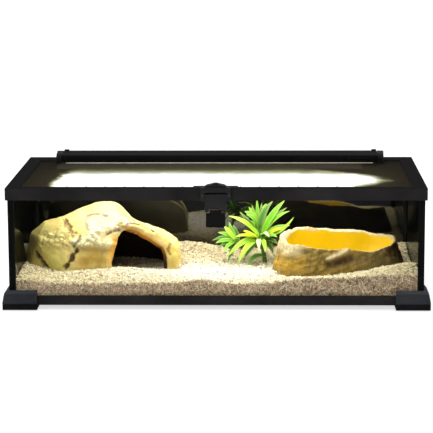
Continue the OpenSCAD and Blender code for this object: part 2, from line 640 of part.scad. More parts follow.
bracket_y = [pivot_y - 45, pivot_y + 9];
bracket_top = tank_h + 18.4;

// One screw hole of a hood bracket in the rear bar of the lid frame
module bracket_hole() {
  rod_z((bracket_x[0] + bracket_x[1]) / 2, lid_rear - 4, [lid_z[0] + 1, lid_z[1] + 3], screw_r);
}

module hood_bracket() difference() {
  nose = bracket_top - lid_z[1];
  along_x([bracket_x[0], bracket_x[1]]) polygon([
    [bracket_y[0] + 2, lid_z[1]], [bracket_y[1], lid_z[1]], [bracket_y[1], bracket_top - 4],
    [bracket_y[1] - 4, bracket_top], for (a = [90 : 12 : 174])
      [bracket_y[0] + nose + nose * cos(a), bracket_top - nose + nose * sin(a)]]);
  rod_x([bracket_x[0] - 1, bracket_x[1] + 1], pivot_y, pivot_z, pivot_pin_r + 0.02);
  bracket_hole();
}

module hood_bracket_left() color(black) mirror([1, 0, 0]) hood_bracket();
module hood_bracket_right() color(black) hood_bracket();

module bracket_screws() color(steel) both_ends()
  rod_z((bracket_x[0] + bracket_x[1]) / 2, lid_rear - 4, [lid_z[0] + 1, lid_z[1] + 3], screw_r);

module hood_pivot_pins() color(steel) both_ends() {
  rod_x([hood_half + 1, bracket_x[1]], pivot_y, pivot_z, pivot_pin_r);
  rod_x([bracket_x[1], bracket_x[1] + 2], pivot_y, pivot_z, 4.5);
}

// Outline of the hood across its length, and the same moved in by the wall
function hood_outline(t) = [
  [hood_front + t, hood_z[0] + 1.6 - t], [hood_front + t, hood_z[1] - 4 - t / 3],
  [hood_front + 2.5 + t * 0.8, hood_z[1] - 1.2 - t * 0.7], [hood_front + 6 + t / 3, hood_z[1] - t],
  [hood_rear - 4 - t / 3, hood_z[1] - t], [hood_rear - t, hood_z[1] - 4 - t / 3],
  [hood_rear - t, hood_z[0] + 3.6], [hood_rear - 3.5 - t, hood_z[0] + 1.6 - t]];

jack_x = hood_half - 24;
jack_z = hood_z[0] + 6.6;

module hood_housing() color(black) difference() {
  along_x([-hood_half, hood_half]) difference() {
    polygon(hood_outline(0));
    polygon(hood_outline(2));
  }
  slab([button_x[0] - gap, button_x[1] + gap], [hood_front - 1, hood_front + 3],
    [button_z[0] - gap, button_z[1] + gap]);
  slab([jack_x - 4.8, jack_x + 4.8], [hood_rear - 6, hood_rear + 1], [jack_z - 3.8, jack_z + 3.8]);
}

module hood_end_cap() difference() {
  union() {
    along_x([hood_half + gap, hood_half + cap_t]) polygon(hood_outline(0));
    rod_x([hood_half + gap, hood_half + cap_t], pivot_y, pivot_z, pivot_boss_r);
  }
  rod_x([hood_half, hood_half + cap_t + 1], pivot_y, pivot_z, pivot_pin_r + 0.08);
}

module hood_end_cap_left() color(black) mirror([1, 0, 0]) hood_end_cap();
module hood_end_cap_right() color(black) hood_end_cap();

hood_screw_at = [for (y = [hood_front + 6, hood_rear - 9]) [hood_half - 3, y]];

module hood_diffuser() color([0.95, 0.95, 0.95, 0.6]) difference() {
  slab([-hood_half + 0.2, hood_half - 0.2], [hood_front + 0.3, hood_rear - 5.5],
    [hood_z[0], hood_z[0] + 1.5]);
  both_ends() for (p = hood_screw_at) rod_z(p[0], p[1], [hood_z[0] - 1, hood_z[0] + 3], screw_r);
}

module hood_screws() color(steel) both_ends() for (p = hood_screw_at) {
  rod_z(p[0], p[1], [hood_z[0], hood_z[0] + 4.5], screw_r);
  rod_z(p[0], p[1], [hood_z[0] - 0.8, hood_z[0]], 1.9);
}

led_x = [-hood_half + 14, hood_half - 59];
led_y = hood_front + 18;

module led_reflector() color([0.9, 0.9, 0.9]) along_x(led_x) polygon([
  [hood_front + 4, hood_z[0] + 2.4], [hood_front + 5, hood_z[0] + 2.4], [hood_front + 9, hood_z[0] + 8.4],
  [hood_rear - 12, hood_z[0] + 8.4], [hood_rear - 8, hood_z[0] + 2.4], [hood_rear - 7, hood_z[0] + 2.4],
  [hood_rear - 11, hood_z[0] + 9.4], [hood_front + 8, hood_z[0] + 9.4]]);

module led_board() color([0.85, 0.85, 0.85])
  slab([led_x[0] + 2, led_x[1] - 2], [led_y - 7, led_y + 7], [hood_z[0] + 6.8, hood_z[0] + 8.4]);

module led_chips() color([1, 0.95, 0.7]) for (i = [0 : led_count - 1])
  translate([led_x[0] + 12 + i * led_pitch, led_y, hood_z[0] + 6.1]) cube([5, 5, 1.4], center = true);

// Driver in the right end of the hood, with the coil and the capacitor that stand on it
module driver_board() color([0.1, 0.35, 0.15]) {
  x = [hood_half - 52, hood_half - 8];
  y = [hood_front + 22, hood_rear - 19];
  slab(x, y, [hood_z[0] + 3.6, hood_z[0] + 5.2]);
  slab([x[0] + 6, x[0] + 16], [y[0] + 5, y[0] + 15], [hood_z[0] + 5.2, hood_z[0] + 9.2]);
  rod_z(x[0] + 28, y[0] + 10, [hood_z[0] + 5.2, hood_z[0] + 9.6], 4);
  for (s = [-2, 2]) rod_y(jack_x + s, [y[1] - 3, hood_rear - 10], hood_z[0] + 6, 0.8);
}

// Power socket: the bore takes the plug of the supply
jack_bore = 2.75;
module dc_inlet() color(black) difference() {
  slab([jack_x - 4.5, jack_x + 4.5], [hood_rear - 10, hood_rear + 0.6], [jack_z - 3.5, jack_z + 3.5]);
  rod_y(jack_x, [hood_rear - 8.8, hood_rear + 1], jack_z, jack_bore);
}

// Bar button in the front face, kept in by a flange behind the wall
module power_button() color([0.16, 0.16, 0.17]) {
  slab(button_x, [hood_front - 0.8, hood_front + 3.4], button_z);
  slab([button_x[0] - 1, button_x[1] + 1], [hood_front + 2.3, hood_front + 3.4],
    [button_z[0] - 1, button_z[1] + 0.8]);
}

module power_switch() color([0.2, 0.2, 0.2]) {
  mid = (button_x[0] + button_x[1]) / 2;
  z = (button_z[0] + button_z[1]) / 2;
  slab([mid - 20, mid + 20], [hood_front + 9, hood_front + 10.4], [hood_z[0] + 2.2, z + 3.4]);
  slab([mid - 3, mid + 3], [hood_front + 5.4, hood_front + 9], [z - 2.2, z + 2.2]);
  rod_y(mid, [hood_front + 4.9, hood_front + 5.4], z, 1.6);
}

base_frame();
foot_front_left();
foot_front_right();
foot_rear_left();
foot_rear_right();
foot_pads();
floor_glass();
front_glass();
rear_glass();
left_glass();
right_glass();
rear_backing();
side_backings();
silicone_seals();
post_front_left();
post_front_right();
post_rear_left();
post_rear_right();
top_frame();
lid_seat();
latch_keeper();
cable_inlet_left();
cable_inlet_right();
cable_gate_left();
cable_gate_right();
tank_hinge_leaves();
tank_hinge_screws();
substrate();
hide_cave();
water_dish();
plant_stem();
plant_leaves();
lid_frame();
lid_screen();
screen_spline();
lid_hinge_leaves();
lid_hinge_screws();
lid_hinge_pins();
latch_bezel();
latch_rivets();
latch_upper_pin();
latch_hasp();
latch_lower_pin();
latch_lever();
hood_bracket_left();
hood_bracket_right();
hood_pivot_pins();
bracket_screws();
hood_housing();
hood_end_cap_left();
hood_end_cap_right();
hood_diffuser();
hood_screws();
led_reflector();
led_board();
led_chips();
driver_board();
dc_inlet();
power_button();
power_switch();
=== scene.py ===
import json
import math
import random
from functools import reduce

import bmesh
import bpy
import numpy as np
from mathutils import Matrix, Vector, noise
from mathutils.bvhtree import BVHTree


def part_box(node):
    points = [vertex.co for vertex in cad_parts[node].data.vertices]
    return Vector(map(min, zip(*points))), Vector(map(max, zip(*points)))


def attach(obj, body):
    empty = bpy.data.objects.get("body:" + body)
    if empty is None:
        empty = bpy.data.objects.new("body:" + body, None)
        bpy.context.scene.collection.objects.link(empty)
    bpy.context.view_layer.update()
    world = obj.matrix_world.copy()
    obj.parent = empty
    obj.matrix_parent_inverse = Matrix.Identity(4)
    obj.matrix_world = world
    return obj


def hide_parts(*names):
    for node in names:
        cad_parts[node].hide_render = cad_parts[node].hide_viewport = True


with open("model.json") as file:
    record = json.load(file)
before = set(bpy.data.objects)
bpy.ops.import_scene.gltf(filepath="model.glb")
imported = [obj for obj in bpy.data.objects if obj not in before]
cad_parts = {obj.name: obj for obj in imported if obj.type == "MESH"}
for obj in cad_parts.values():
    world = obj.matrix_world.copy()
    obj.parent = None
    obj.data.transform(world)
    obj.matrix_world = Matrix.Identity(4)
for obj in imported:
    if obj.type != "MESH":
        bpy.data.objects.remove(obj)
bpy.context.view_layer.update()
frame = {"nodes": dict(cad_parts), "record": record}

NODES = frame["nodes"]
MM = 0.001
IMAGE = 433
WHITE = (1, 1, 1, 1)
scene = bpy.context.scene


def rgb(r, g, b):
    """Screen colour 0-255 as a linear colour."""
    def one(v):
        v /= 255
        return v / 12.92 if v <= 0.04045 else ((v + 0.055) / 1.055) ** 2.4
    return (one(r), one(g), one(b), 1.0)


def tone(r, g, b):
    return np.array(rgb(r, g, b)[:3])


# ---- camera
EYE = Vector((0.09027, -3.64219, 0.81488))
YAW, PITCH, ROLL = (math.radians(a) for a in (-1.4783846, 10.40858, -0.250879))
REACH = 3.6
LENS = 153.744
SENSOR = 36.0

camera_data = bpy.data.cameras.new("camera")
camera_data.lens = LENS
camera_data.sensor_width = SENSOR
camera_data.clip_start = 0.05
camera_data.clip_end = 60
camera = bpy.data.objects.new("camera", camera_data)
scene.collection.objects.link(camera)
camera.location = EYE
ahead = Vector((math.sin(YAW) * math.cos(PITCH), math.cos(YAW) * math.cos(PITCH), -math.sin(PITCH)))
level = Vector((math.cos(YAW), -math.sin(YAW), 0))
upward = level.cross(ahead)
LOOK = Matrix((level * math.cos(ROLL) + upward * math.sin(ROLL), upward * math.cos(ROLL) - level * math.sin(ROLL),
               -ahead)).transposed().to_quaternion()
camera.rotation_mode = "QUATERNION"
camera.rotation_quaternion = LOOK
scene.camera = camera


def pixel_ray(px, py):
    """Direction from the camera through a pixel of the 433-pixel picture."""
    half = IMAGE / 2
    side = SENSOR / 2 / LENS
    return (LOOK @ Vector(((px - half) / half * side, -(py - half) / half * side, -1))).normalized()


# ---- node trees
class Tree:
    """A material's or the world's nodes, made by short calls: inputs by name, a socket links and a value is set."""

    def __init__(self, name, world=False):
        self.owner = (bpy.data.worlds if world else bpy.data.materials).new(name)
        self.owner.use_nodes = True
        self.tree = self.owner.node_tree
        self.tree.nodes.clear()
        self.out = self.add("OutputWorld" if world else "OutputMaterial")

    def add(self, kind, inputs=None, **props):
        n = self.tree.nodes.new("ShaderNode" + kind)
        for k, v in props.items():
            setattr(n, k, v)
        for k, v in (inputs or {}).items():
            if isinstance(v, bpy.types.NodeSocket):
                self.tree.links.new(v, n.inputs[k])
            elif v is not None:
                n.inputs[k].default_value = v
        return n

    def coords(self):
        return self.add("TexCoord").outputs["Object"]

    def xyz(self, vec):
        return self.add("SeparateXYZ", {0: vec}).outputs

    def stretch(self, vec, scale, turn=(0, 0, 0)):
        return self.add("Mapping", {"Vector": vec, "Scale": scale, "Rotation": turn}).outputs[0]

    def noise(self, vec, scale, detail=3.0, rough=0.55, warp=0.0):
        return self.add("TexNoise", {"Vector": vec, "Scale": scale, "Detail": detail, "Roughness": rough,
                                     "Distortion": warp}).outputs["Fac"]

    def cells(self, vec, scale):
        return self.add("TexVoronoi", {"Vector": vec, "Scale": scale}).outputs["Distance"]

    def ramp(self, fac, *stops):
        n = self.add("ValToRGB", {"Fac": fac})
        e = n.color_ramp.elements
        while len(e) < len(stops):
            e.new(0.5)
        for i, (at, col) in enumerate(stops):
            e[i].position = at
            e[i].color = col
        return n.outputs["Color"]

    def levels(self, fac, low, high, out_low=0.0, out_high=1.0, kind="LINEAR"):
        return self.add("MapRange", {"Value": fac, "From Min": low, "From Max": high, "To Min": out_low,
                                     "To Max": out_high}, interpolation_type=kind).outputs["Result"]

    def soft(self, *values):
        return self.levels(*values, kind="SMOOTHSTEP")

    def math(self, op, a, b=0.0):
        return self.add("Math", {0: a, 1: b}, operation=op).outputs[0]

    def mul(self, *terms):
        return reduce(lambda a, b: self.math("MULTIPLY", a, b), terms)

    def plus(self, *terms):
        return reduce(lambda a, b: self.math("ADD", a, b), terms)

    def wave(self, x, first, pitch):
        """A cosine of -1 to 1 along x, with its crests a pitch apart from the first one on."""
        return self.math("COSINE", self.mul(self.plus(x, -first), 2 * math.pi / pitch))

    def mix(self, fac, a, b, blend="MIX"):
        return self.add("Mix", {0: fac, 6: a, 7: b}, data_type="RGBA", blend_type=blend).outputs[2]

    def stain(self, fac, colour, filter_colour):
        """The colour, multiplied by another where fac is high."""
        return self.mix(fac, colour, self.mix(1.0, colour, filter_colour, "MULTIPLY"))

    def scaled(self, colour, factor):
        return self.add("VectorMath", {0: colour, 3: factor}, operation="SCALE").outputs[0]

    def bump(self, height, distance, strength=1.0, normal=None):
        return self.add("Bump", {"Height": height, "Distance": distance, "Strength": strength,
                                 "Normal": normal}).outputs["Normal"]

    def painted(self, name):
        return self.add("Attribute", attribute_name=name).outputs["Color"]

    def surface(self, shader):
        self.tree.links.new(shader.outputs[0], self.out.inputs["Surface"])
        return self.owner

    def finish(self, colour, rough, gloss=0.5, normal=None, **others):
        return self.surface(self.add("BsdfPrincipled", {
            "Base Color": colour, "Roughness": rough, "Specular IOR Level": gloss, "Normal": normal,
            **{k.replace("_", " "): v for k, v in others.items()}}))


def begin(name):
    """A new material's tree, and the place of each point in metres."""
    t = Tree(name)
    return t, t.coords()


def moulded(name, dark, light, rough=(0.5, 0.64), gloss=0.1, grain=1400.0, edge=(0.06, 0.06, 0.066, 1), soft=0.0007,
            level=1.0, band=None):
    """Injection-moulded plastic: fine spark-eroded grain, soft clouding, paler edges that are partly wear and partly
    a
    painted highlight, and a few handling marks. level scales the colour of its level faces against the upright ones:
    below 1 it is a painted shade, above 1 a painted highlight. band is a low and a high place above the floor, and
    the scales of the colour under the one and over the other: a painted shade below and a painted highlight above."""
    t, at = begin(name)
    cloud = t.noise(at, 9, 4, 0.6)
    fine = t.noise(at, grain, 2, 0.5)
    scuff = t.noise(t.stretch(at, (60, 400, 400), (0.4, 0.7, 0.2)), 1.0, 5, 0.7, 0.6)
    marks = t.levels(scuff, 0.68, 0.78)
    body = t.ramp(cloud, (0.3, dark), (0.7, light))
    body = t.mix(t.mul(marks, 0.35), body, edge)
    rounded = t.add("Bevel", {"Radius": soft}, samples=4).outputs["Normal"]
    straight = t.add("NewGeometry").outputs["Normal"]
    turn = t.add("VectorMath", {0: rounded, 1: straight}, operation="DOT_PRODUCT").outputs["Value"]
    # Paler edges: partly wear, partly a painted highlight where an edge catches light
    wear_and_highlight = t.mul(t.levels(turn, 0.985, 0.86), t.levels(t.noise(at, 45, 4), 0.35, 0.65, 0.25, 0.8))
    body = t.mix(wear_and_highlight, body, edge)
    # Level faces scaled against the upright ones: painted shade below 1, painted highlight above 1
    up = t.xyz(t.add("TexCoord").outputs["Normal"])[2]
    body = t.scaled(body, t.levels(up, 0.15, 0.8, 1.0, level))
    # Painted shade low down and a painted highlight higher up
    if band:
        body = t.scaled(body, t.levels(t.xyz(at)[2], *band))
    roughness = t.levels(t.plus(t.mul(cloud, 0.5), t.mul(fine, 0.5)), 0.3, 0.7, *rough)
    return t.finish(body, roughness, gloss, t.bump(fine, 0.00004, 0.5, rounded))


def metal(name, base, dark, rough=0.28):
    """Drawn or pressed metal with fine directional marks and dull patches."""
    t, at = begin(name)
    lines = t.noise(t.stretch(at, (900, 900, 60)), 1.0, 4, 0.6)
    dull = t.noise(at, 70, 4, 0.6)
    col = t.ramp(t.plus(t.mul(lines, 0.6), t.mul(dull, 0.4)), (0.35, dark), (0.62, base))
    return t.finish(col, t.levels(dull, 0.3, 0.7, rough, rough + 0.18), normal=t.bump(lines, 0.00003, 0.4),
                    Metallic=1.0)


def thin_glass(name, straight, grazing):
    """Flat pane: light passes straight through, with a reflection that grows at a low angle."""
    t, at = begin(name)
    film = t.levels(t.noise(at, 7, 5, 0.6, 0.4), 0.3, 0.8, 0.965, 0.985)
    tint = t.mix(film, rgb(225, 240, 232), rgb(253, 255, 254))
    clear = t.add("BsdfTransparent", {"Color": tint})
    smear = t.levels(t.noise(t.stretch(at, (5, 5, 14), (0, 0.5, 0)), 1, 6, 0.65), 0.45, 0.8, 0.004, 0.03)
    shine = t.add("BsdfGlossy", {"Color": WHITE, "Roughness": smear})
    angle = t.add("LayerWeight", {"Blend": 0.333}).outputs["Fresnel"]
    return t.surface(t.add("MixShader", {0: t.levels(angle, 0.04, 1.0, straight, grazing), 1: clear.outputs[0],
                                         2: shine.outputs[0]}))


def black_film():
    t, at = begin("black_film")
    ripple = t.noise(at, 14, 3, 0.5)
    dust = t.levels(t.noise(at, 600, 3, 0.7), 0.72, 0.82)
    col = t.mix(t.mul(dust, 0.2), t.ramp(ripple, (0.3, rgb(5, 5, 6)), (0.7, rgb(11, 11, 12))), rgb(50, 48, 44))
    return t.finish(col, t.levels(ripple, 0.3, 0.7, 0.4, 0.5), 0.08, t.bump(ripple, 0.0003, 0.2))


def grained(name, stretch, grain, low, high, rough, gloss, relief, strength):
    """An even material with one noise in its colour, its roughness and its relief; grain is the noise's detail
    and its roughness."""
    t, at = begin(name)
    fac = t.noise(t.stretch(at, stretch), 1, *grain)
    return t.finish(t.ramp(fac, (0.3, low), (0.7, high)), t.levels(fac, 0.3, 0.7, *rough), gloss,
                    t.bump(fac, relief, strength))


# The hood's row of LEDs in metres: the first one's place, their pitch and the line that they lie on
LED_FIRST, LED_PITCH, LED_LINE = -0.288, 0.037, 0.113


def lit_plastic():
    """Milky diffuser with the LED row showing through: brightest over each chip."""
    t, at = begin("diffuser_plastic")
    x, y = t.xyz(at)[:2]
    ribs = t.add("TexWave", {"Vector": at, "Scale": 160, "Distortion": 0.0}, bands_direction="Y").outputs["Fac"]
    over = t.levels(t.wave(x, LED_FIRST, LED_PITCH), -1, 1, 0.35, 1.0)
    near = t.levels(t.math("ABSOLUTE", t.math("SUBTRACT", y, LED_LINE)), 0.004, 0.016, 1.0, 0.07)
    glow = t.mul(over, near, t.levels(x, -0.305, -0.285), t.levels(x, 0.262, 0.24))
    col = t.ramp(ribs, (0.2, rgb(205, 206, 200)), (0.8, rgb(236, 236, 230)))
    return t.finish(col, 0.4, 0.3, t.bump(ribs, 0.0002, 0.3), Emission_Color=rgb(255, 250, 236),
                    Emission_Strength=t.mul(glow, 1.1))


def lens():
    t = Tree("led_lens")
    dots = t.cells(t.coords(), 900)
    return t.finish(t.ramp(dots, (0.1, rgb(255, 214, 96)), (0.7, rgb(255, 236, 170))), 0.25,
                    Emission_Color=rgb(255, 247, 226), Emission_Strength=t.levels(dots, 0.0, 0.8, 4.5, 3.5))


def circuit():
    t, at = begin("circuit_board")
    track = t.add("TexBrick", {"Vector": t.stretch(at, (240, 240, 240)), "Scale": 1.0,
                               "Color1": rgb(24, 88, 44), "Color2": rgb(20, 72, 38), "Mortar": rgb(52, 128, 72),
                               "Mortar Size": 0.03}).outputs["Color"]
    return t.finish(track, t.levels(t.noise(at, 300, 2), 0.3, 0.7, 0.25, 0.45))


def board_metal():
    """White-painted board with a gold pad at each LED."""
    t, at = begin("led_board_metal")
    pads = t.levels(t.wave(t.xyz(at)[0], LED_FIRST, LED_PITCH), 0.93, 0.97)
    base = t.ramp(t.noise(at, 500, 3), (0.3, rgb(214, 216, 214)), (0.7, rgb(236, 238, 234)))
    return t.finish(t.mix(pads, base, rgb(196, 170, 104)), 0.38, Metallic=t.mul(pads, 0.8))


# By material slot, which is the name without the number that Blender may add to it
# Painted shade on the level faces of frame, hood and latch (level below 1); painted highlight and shade on the feet
MATERIALS = {look.name.split(".")[0]: look for look in (
    moulded("frame_plastic", rgb(32, 31, 31), rgb(46, 44, 44), rough=(0.62, 0.74), gloss=0.05, level=0.22),
    moulded("foot_plastic", rgb(24, 25, 28), rgb(35, 36, 39), grain=1000, level=1.6, band=(0.013, 0.015, 0.65, 2.3)),
    moulded("hood_plastic", rgb(14, 14, 14), rgb(22, 22, 22), rough=(0.5, 0.62), gloss=0.06, level=0.5),
    moulded("latch_plastic", rgb(36, 35, 36), rgb(50, 48, 48), rough=(0.36, 0.5), gloss=0.2, level=0.4),
    moulded("switch_plastic", rgb(32, 32, 38), rgb(46, 46, 54), rough=(0.36, 0.48), gloss=0.2),
    moulded("stem_plastic", rgb(58, 96, 30), rgb(92, 132, 44), gloss=0.3, edge=rgb(150, 186, 80)),
    grained("pad_rubber", (1500,) * 3, (3, 0.6), rgb(18, 18, 18), rgb(38, 37, 36), (0.85, 0.85), 0.2, 0.0001, 0.8),
    grained("black_silicone", (90, 90, 26), (4, 0.55), rgb(12, 12, 13), rgb(30, 30, 31), (0.5, 0.65), 0.06, 0.0008,
            0.6),
    grained("white_reflector", (700,) * 3, (3, 0.55), rgb(226, 226, 222), rgb(244, 244, 240), (0.35, 0.35), 0.5,
            0.00005, 0.6),
    metal("steel_fastener", rgb(214, 214, 212), rgb(150, 150, 150)),
    thin_glass("clear_glass", 0.05, 0.55), black_film(), lit_plastic(), board_metal(), lens(), circuit())}
# Nodes with a finish of their own, by how their names start. The front pane hardly mirrors the room; the rear one,
# backed by film, mirrors the bed and the rocks.
OWN_MATERIALS = {
    "front_glass": thin_glass("front_pane", 0.004, 0.3),
    "rear_glass": thin_glass("rear_pane", 0.12, 0.5),
    "post_": moulded("post_plastic", rgb(13, 13, 14), rgb(20, 20, 21)),
    # The brackets' light edge colour is a painted highlight along their edges
    "hood_bracket_": moulded("bracket_plastic", rgb(16, 16, 15), rgb(26, 25, 24), gloss=0.3, edge=rgb(120, 116, 104),
                             soft=0.0012),
    "latch_lever": moulded("lever_plastic", rgb(17, 16, 17), rgb(25, 24, 24), rough=(0.36, 0.5), gloss=0.15),
    "latch_rivets": metal("bright_rivets", rgb(250, 250, 248), rgb(214, 214, 212), 0.5)
}
for part in frame["record"]["subparts"]:
    look = next((own for beginning, own in OWN_MATERIALS.items() if part["node"].startswith(beginning)),
                MATERIALS.get(part["material_slot"]))
    if look:
        mesh = NODES[part["node"]].data
        if not mesh.materials:
            mesh.materials.append(None)
        for i in range(len(mesh.materials)):
            mesh.materials[i] = look


# ---- mesh helpers
def make(name, verts, faces, mat, slot, smooth=True, body="tank"):
    mesh = bpy.data.meshes.new(name)
    mesh.from_pydata([tuple(v) for v in verts], [], faces)
    mesh.update()
    return place(name, mesh, mat, smooth, body)


def make_triangles(name, verts, triangles, mat):
    """A mesh of many triangles, from an (n, 3) array of places and an (m, 3) array of vertex numbers."""
    mesh = bpy.data.meshes.new(name)
    mesh.vertices.add(len(verts))
    mesh.vertices.foreach_set("co", np.asarray(verts, np.float32).ravel())
    mesh.loops.add(triangles.size)
    mesh.loops.foreach_set("vertex_index", triangles.astype(np.int32).ravel())
    mesh.polygons.add(len(triangles))
    mesh.polygons.foreach_set("loop_start", np.arange(0, triangles.size, 3, dtype=np.int32))
    mesh.update(calc_edges=True)
    mesh.validate()
    return place(name, mesh, mat, False)


def tube(first, steps, turns):
    """Faces of a closed tube: rings of vertices from the number first on, joined in steps and capped."""
    faces = []
    for k in range(first, first + steps * turns, turns):
        for j in range(turns):
            a, b = k + j, k + (j + 1) % turns
            faces.append((a, b, b + turns, a + turns))
    faces.append(tuple(first + j for j in reversed(range(turns))))
    faces.append(tuple(first + steps * turns + j for j in range(turns)))
    return faces


def place(name, mesh, mat, smooth=True, body="tank"):
    mesh.materials.clear()
    mesh.materials.append(mat)
    if len(mesh.polygons):
        mesh.polygons.foreach_set("use_smooth", [smooth] * len(mesh.polygons))
    obj = bpy.data.objects.new(name, mesh)
    scene.collection.objects.link(obj)
    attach(obj, body)
    return obj


def vectors(items, key):
    """The places or normals of a mesh's vertices, as an (n, 3) array."""
    out = np.empty(len(items) * 3, np.float32)
    items.foreach_get(key, out)
    return out.reshape(-1, 3).astype(float)


def set_coords(mesh, co):
    mesh.vertices.foreach_set("co", co.astype(np.float32).ravel())
    mesh.update()


def paint(mesh, name, colours):
    layer = mesh.color_attributes.new(name=name, type="FLOAT_COLOR", domain="POINT")
    rgba = np.ones((len(mesh.vertices), 4), np.float32)
    rgba[:, :3] = np.clip(colours, 0, 1)
    layer.data.foreach_set("color", rgba.ravel())


def joined_copy(node):
    """The node's surface with its doubled vertices joined, as a new mesh."""
    bm = bmesh.new()
    bm.from_mesh(NODES[node].data)
    bmesh.ops.remove_doubles(bm, verts=bm.verts, dist=1e-6)
    mesh = bpy.data.meshes.new(node + "_copy")
    bm.to_mesh(mesh)
    bm.free()
    return mesh


def tree_of(node):
    mesh = joined_copy(node)
    return BVHTree.FromPolygons([v.co for v in mesh.vertices], [tuple(p.vertices) for p in mesh.polygons])


def voxel_copy(node, voxel, smooth_steps):
    """A fine, even copy of a CAD solid, softened so that its facets are gone."""
    rough = joined_copy(node)
    holder = bpy.data.objects.new("holder", rough)
    scene.collection.objects.link(holder)
    mod = holder.modifiers.new("voxels", "REMESH")
    mod.mode = "VOXEL"
    mod.voxel_size = voxel
    mesh = bpy.data.meshes.new_from_object(holder.evaluated_get(bpy.context.evaluated_depsgraph_get()))
    bpy.data.objects.remove(holder)
    bm = bmesh.new()
    bm.from_mesh(mesh)
    for _ in range(smooth_steps):
        bmesh.ops.smooth_vert(bm, verts=bm.verts, factor=0.5, use_axis_x=True, use_axis_y=True, use_axis_z=True)
    bm.to_mesh(mesh)
    bm.free()
    mesh.update()
    return mesh


def field(points, scale, octaves, seed):
    """Smooth noise about 0 at each point; scale is lumps per metre."""
    shift = Vector((seed * 7.3, seed * 3.1, seed * 5.7))
    return np.array([noise.fractal(Vector(p) * scale + shift, 0.9, 2.1, octaves) for p in points])


def smoothstep(x, a, b):
    t = np.clip((x - a) / (b - a), 0, 1)
    return t * t * (3 - 2 * t)


class Spots:
    """Places given by pixels of the picture, found along the camera's rays on a surface as it is when this is made.
    smooth and torn give a weight at each vertex for a line through the pixels, within the mask."""

    def __init__(self, mesh, co, mask, ragged):
        bm = bmesh.new()
        bm.from_mesh(mesh)
        self.tree = BVHTree.FromBMesh(bm)
        bm.free()
        self.co, self.mask, self.ragged = co, mask, ragged

    def at(self, px, py):
        hit = self.tree.ray_cast(EYE, pixel_ray(px, py))[0]
        if hit is None:
            hit = self.tree.find_nearest(EYE + pixel_ray(px, py) * REACH)[0]
        return np.array(hit)

    def reach(self, pixels):
        """Distance in metres from a line through the pixels."""
        pts = [self.at(*p) for p in pixels]
        best = np.linalg.norm(self.co - pts[0], axis=1)
        for a, b in zip(pts, pts[1:]):
            d = b - a
            t = np.clip(((self.co - a) @ d) / max(d @ d, 1e-12), 0, 1)[:, None]
            best = np.minimum(best, np.linalg.norm(self.co - (a + t * d), axis=1))
        return best

    def smooth(self, pixels, radius):
        """1 on the line, falling to 0 at the radius."""
        return (1 - smoothstep(self.reach(pixels), 0, radius)) * self.mask

    def torn(self, pixels, radius):
        """The same with a ragged edge and a flat middle, for cracks and stains."""
        return (1 - smoothstep(self.reach(pixels) + self.ragged * radius, 0.35 * radius, radius)) * self.mask


def lay(base, colour, weight):
    w = np.clip(weight, 0, 1)[:, None]
    return base * (1 - w) + colour * w


def layered(base, rows):
    """Coats of paint over a base colour. A row is a colour and its share at each vertex."""
    coats = np.tile(tone(*base), (len(rows[0][3]), 1))
    for r, g, b, share in rows:
        coats = lay(coats, tone(r, g, b), share)
    return coats


# ---- bead along the film's upright edges
BEAD_WIDE, BEAD_DEEP = 0.0011, 0.0007
BEAD_TURNS, BEAD_STEPS = 8, 60


def edge_bead():
    """A run of sealant that closes the gap between the rear film and each rear post, uneven as it was pulled."""
    film_lo, film_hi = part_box("rear_backing")
    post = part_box("post_rear_right")[0].x
    bottom, top = film_lo.z + 0.0006, film_hi.z - 0.0006
    verts, quads = [], []
    for side in (-1, 1):
        first = len(verts)
        for k in range(BEAD_STEPS + 1):
            z = bottom + (top - bottom) * k / BEAD_STEPS
            swell = 1 + 0.22 * noise.noise(Vector((side * 3.1, 0.4, z * 60)))
            for j in range(BEAD_TURNS):
                a = 2 * math.pi * j / BEAD_TURNS
                verts.append((side * (post - 0.0007 + BEAD_WIDE * math.cos(a) * swell),
                              film_lo.y + 0.0008 + BEAD_DEEP * math.sin(a) * swell, z))
        quads += [face[::side] for face in tube(first, BEAD_STEPS, BEAD_TURNS)]
    return verts, quads


make("rear_edge_bead", *edge_bead(), MATERIALS["black_silicone"], "black_silicone")

# ---- granule bed
# The inner faces of the panes and of the floor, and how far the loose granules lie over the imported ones
GLASS_X, GLASS_Y = 0.389, 0.189
FLOOR_TOP = 0.0174
LOOSE_DEPTH = 0.0024
BED_SEED = 41
rng = np.random.default_rng(BED_SEED)

bed_tree = tree_of("substrate")
sunk = [tree_of("hide_cave"), tree_of("water_dish")]
bed_lo, bed_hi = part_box("substrate")


def bed_height(x, y):
    hit = bed_tree.ray_cast(Vector((x, y, bed_hi.z + 0.05)), Vector((0, 0, -1)))[0]
    return hit.z if hit else bed_lo.z + 0.02


def bed_piece():
    """The bed's body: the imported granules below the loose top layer, heaped a little by hand."""
    step = 0.004
    inset = 0.0012
    x0, x1 = bed_lo.x + inset, bed_hi.x - inset
    y0, y1 = bed_lo.y + inset, bed_hi.y - inset
    nx, ny = int((x1 - x0) / step), int((y1 - y0) / step)
    xs, ys = np.linspace(x0, x1, nx + 1), np.linspace(y0, y1, ny + 1)
    top = np.array([[bed_height(x, y) for x in xs] for y in ys])
    px, py = np.meshgrid(xs, ys)
    pts = np.stack([px.ravel(), py.ravel(), np.zeros(px.size)], 1)
    top = top.ravel() - LOOSE_DEPTH + 0.0012 * field(pts, 90, 3, 1.0)
    upper = np.stack([px.ravel(), py.ravel(), top], 1)
    lower = upper.copy()
    lower[:, 2] = bed_lo.z + 0.0002
    n = len(upper)
    w = nx + 1
    cells = [j * w + i for j in range(ny) for i in range(nx)]
    quads = [(a, a + 1, a + w + 1, a + w) for a in cells]
    quads += [(n + a, n + a + w, n + a + w + 1, n + a + 1) for a in cells]
    border = [*range(nx), *range(nx, n - 1, w), *range(n - 1, n - w, -1), *range(n - w, 0, -w)]
    quads += [(p, n + p, n + q, q) for p, q in zip(border, border[1:] + border[:1])]
    return np.concatenate([upper, lower]), quads


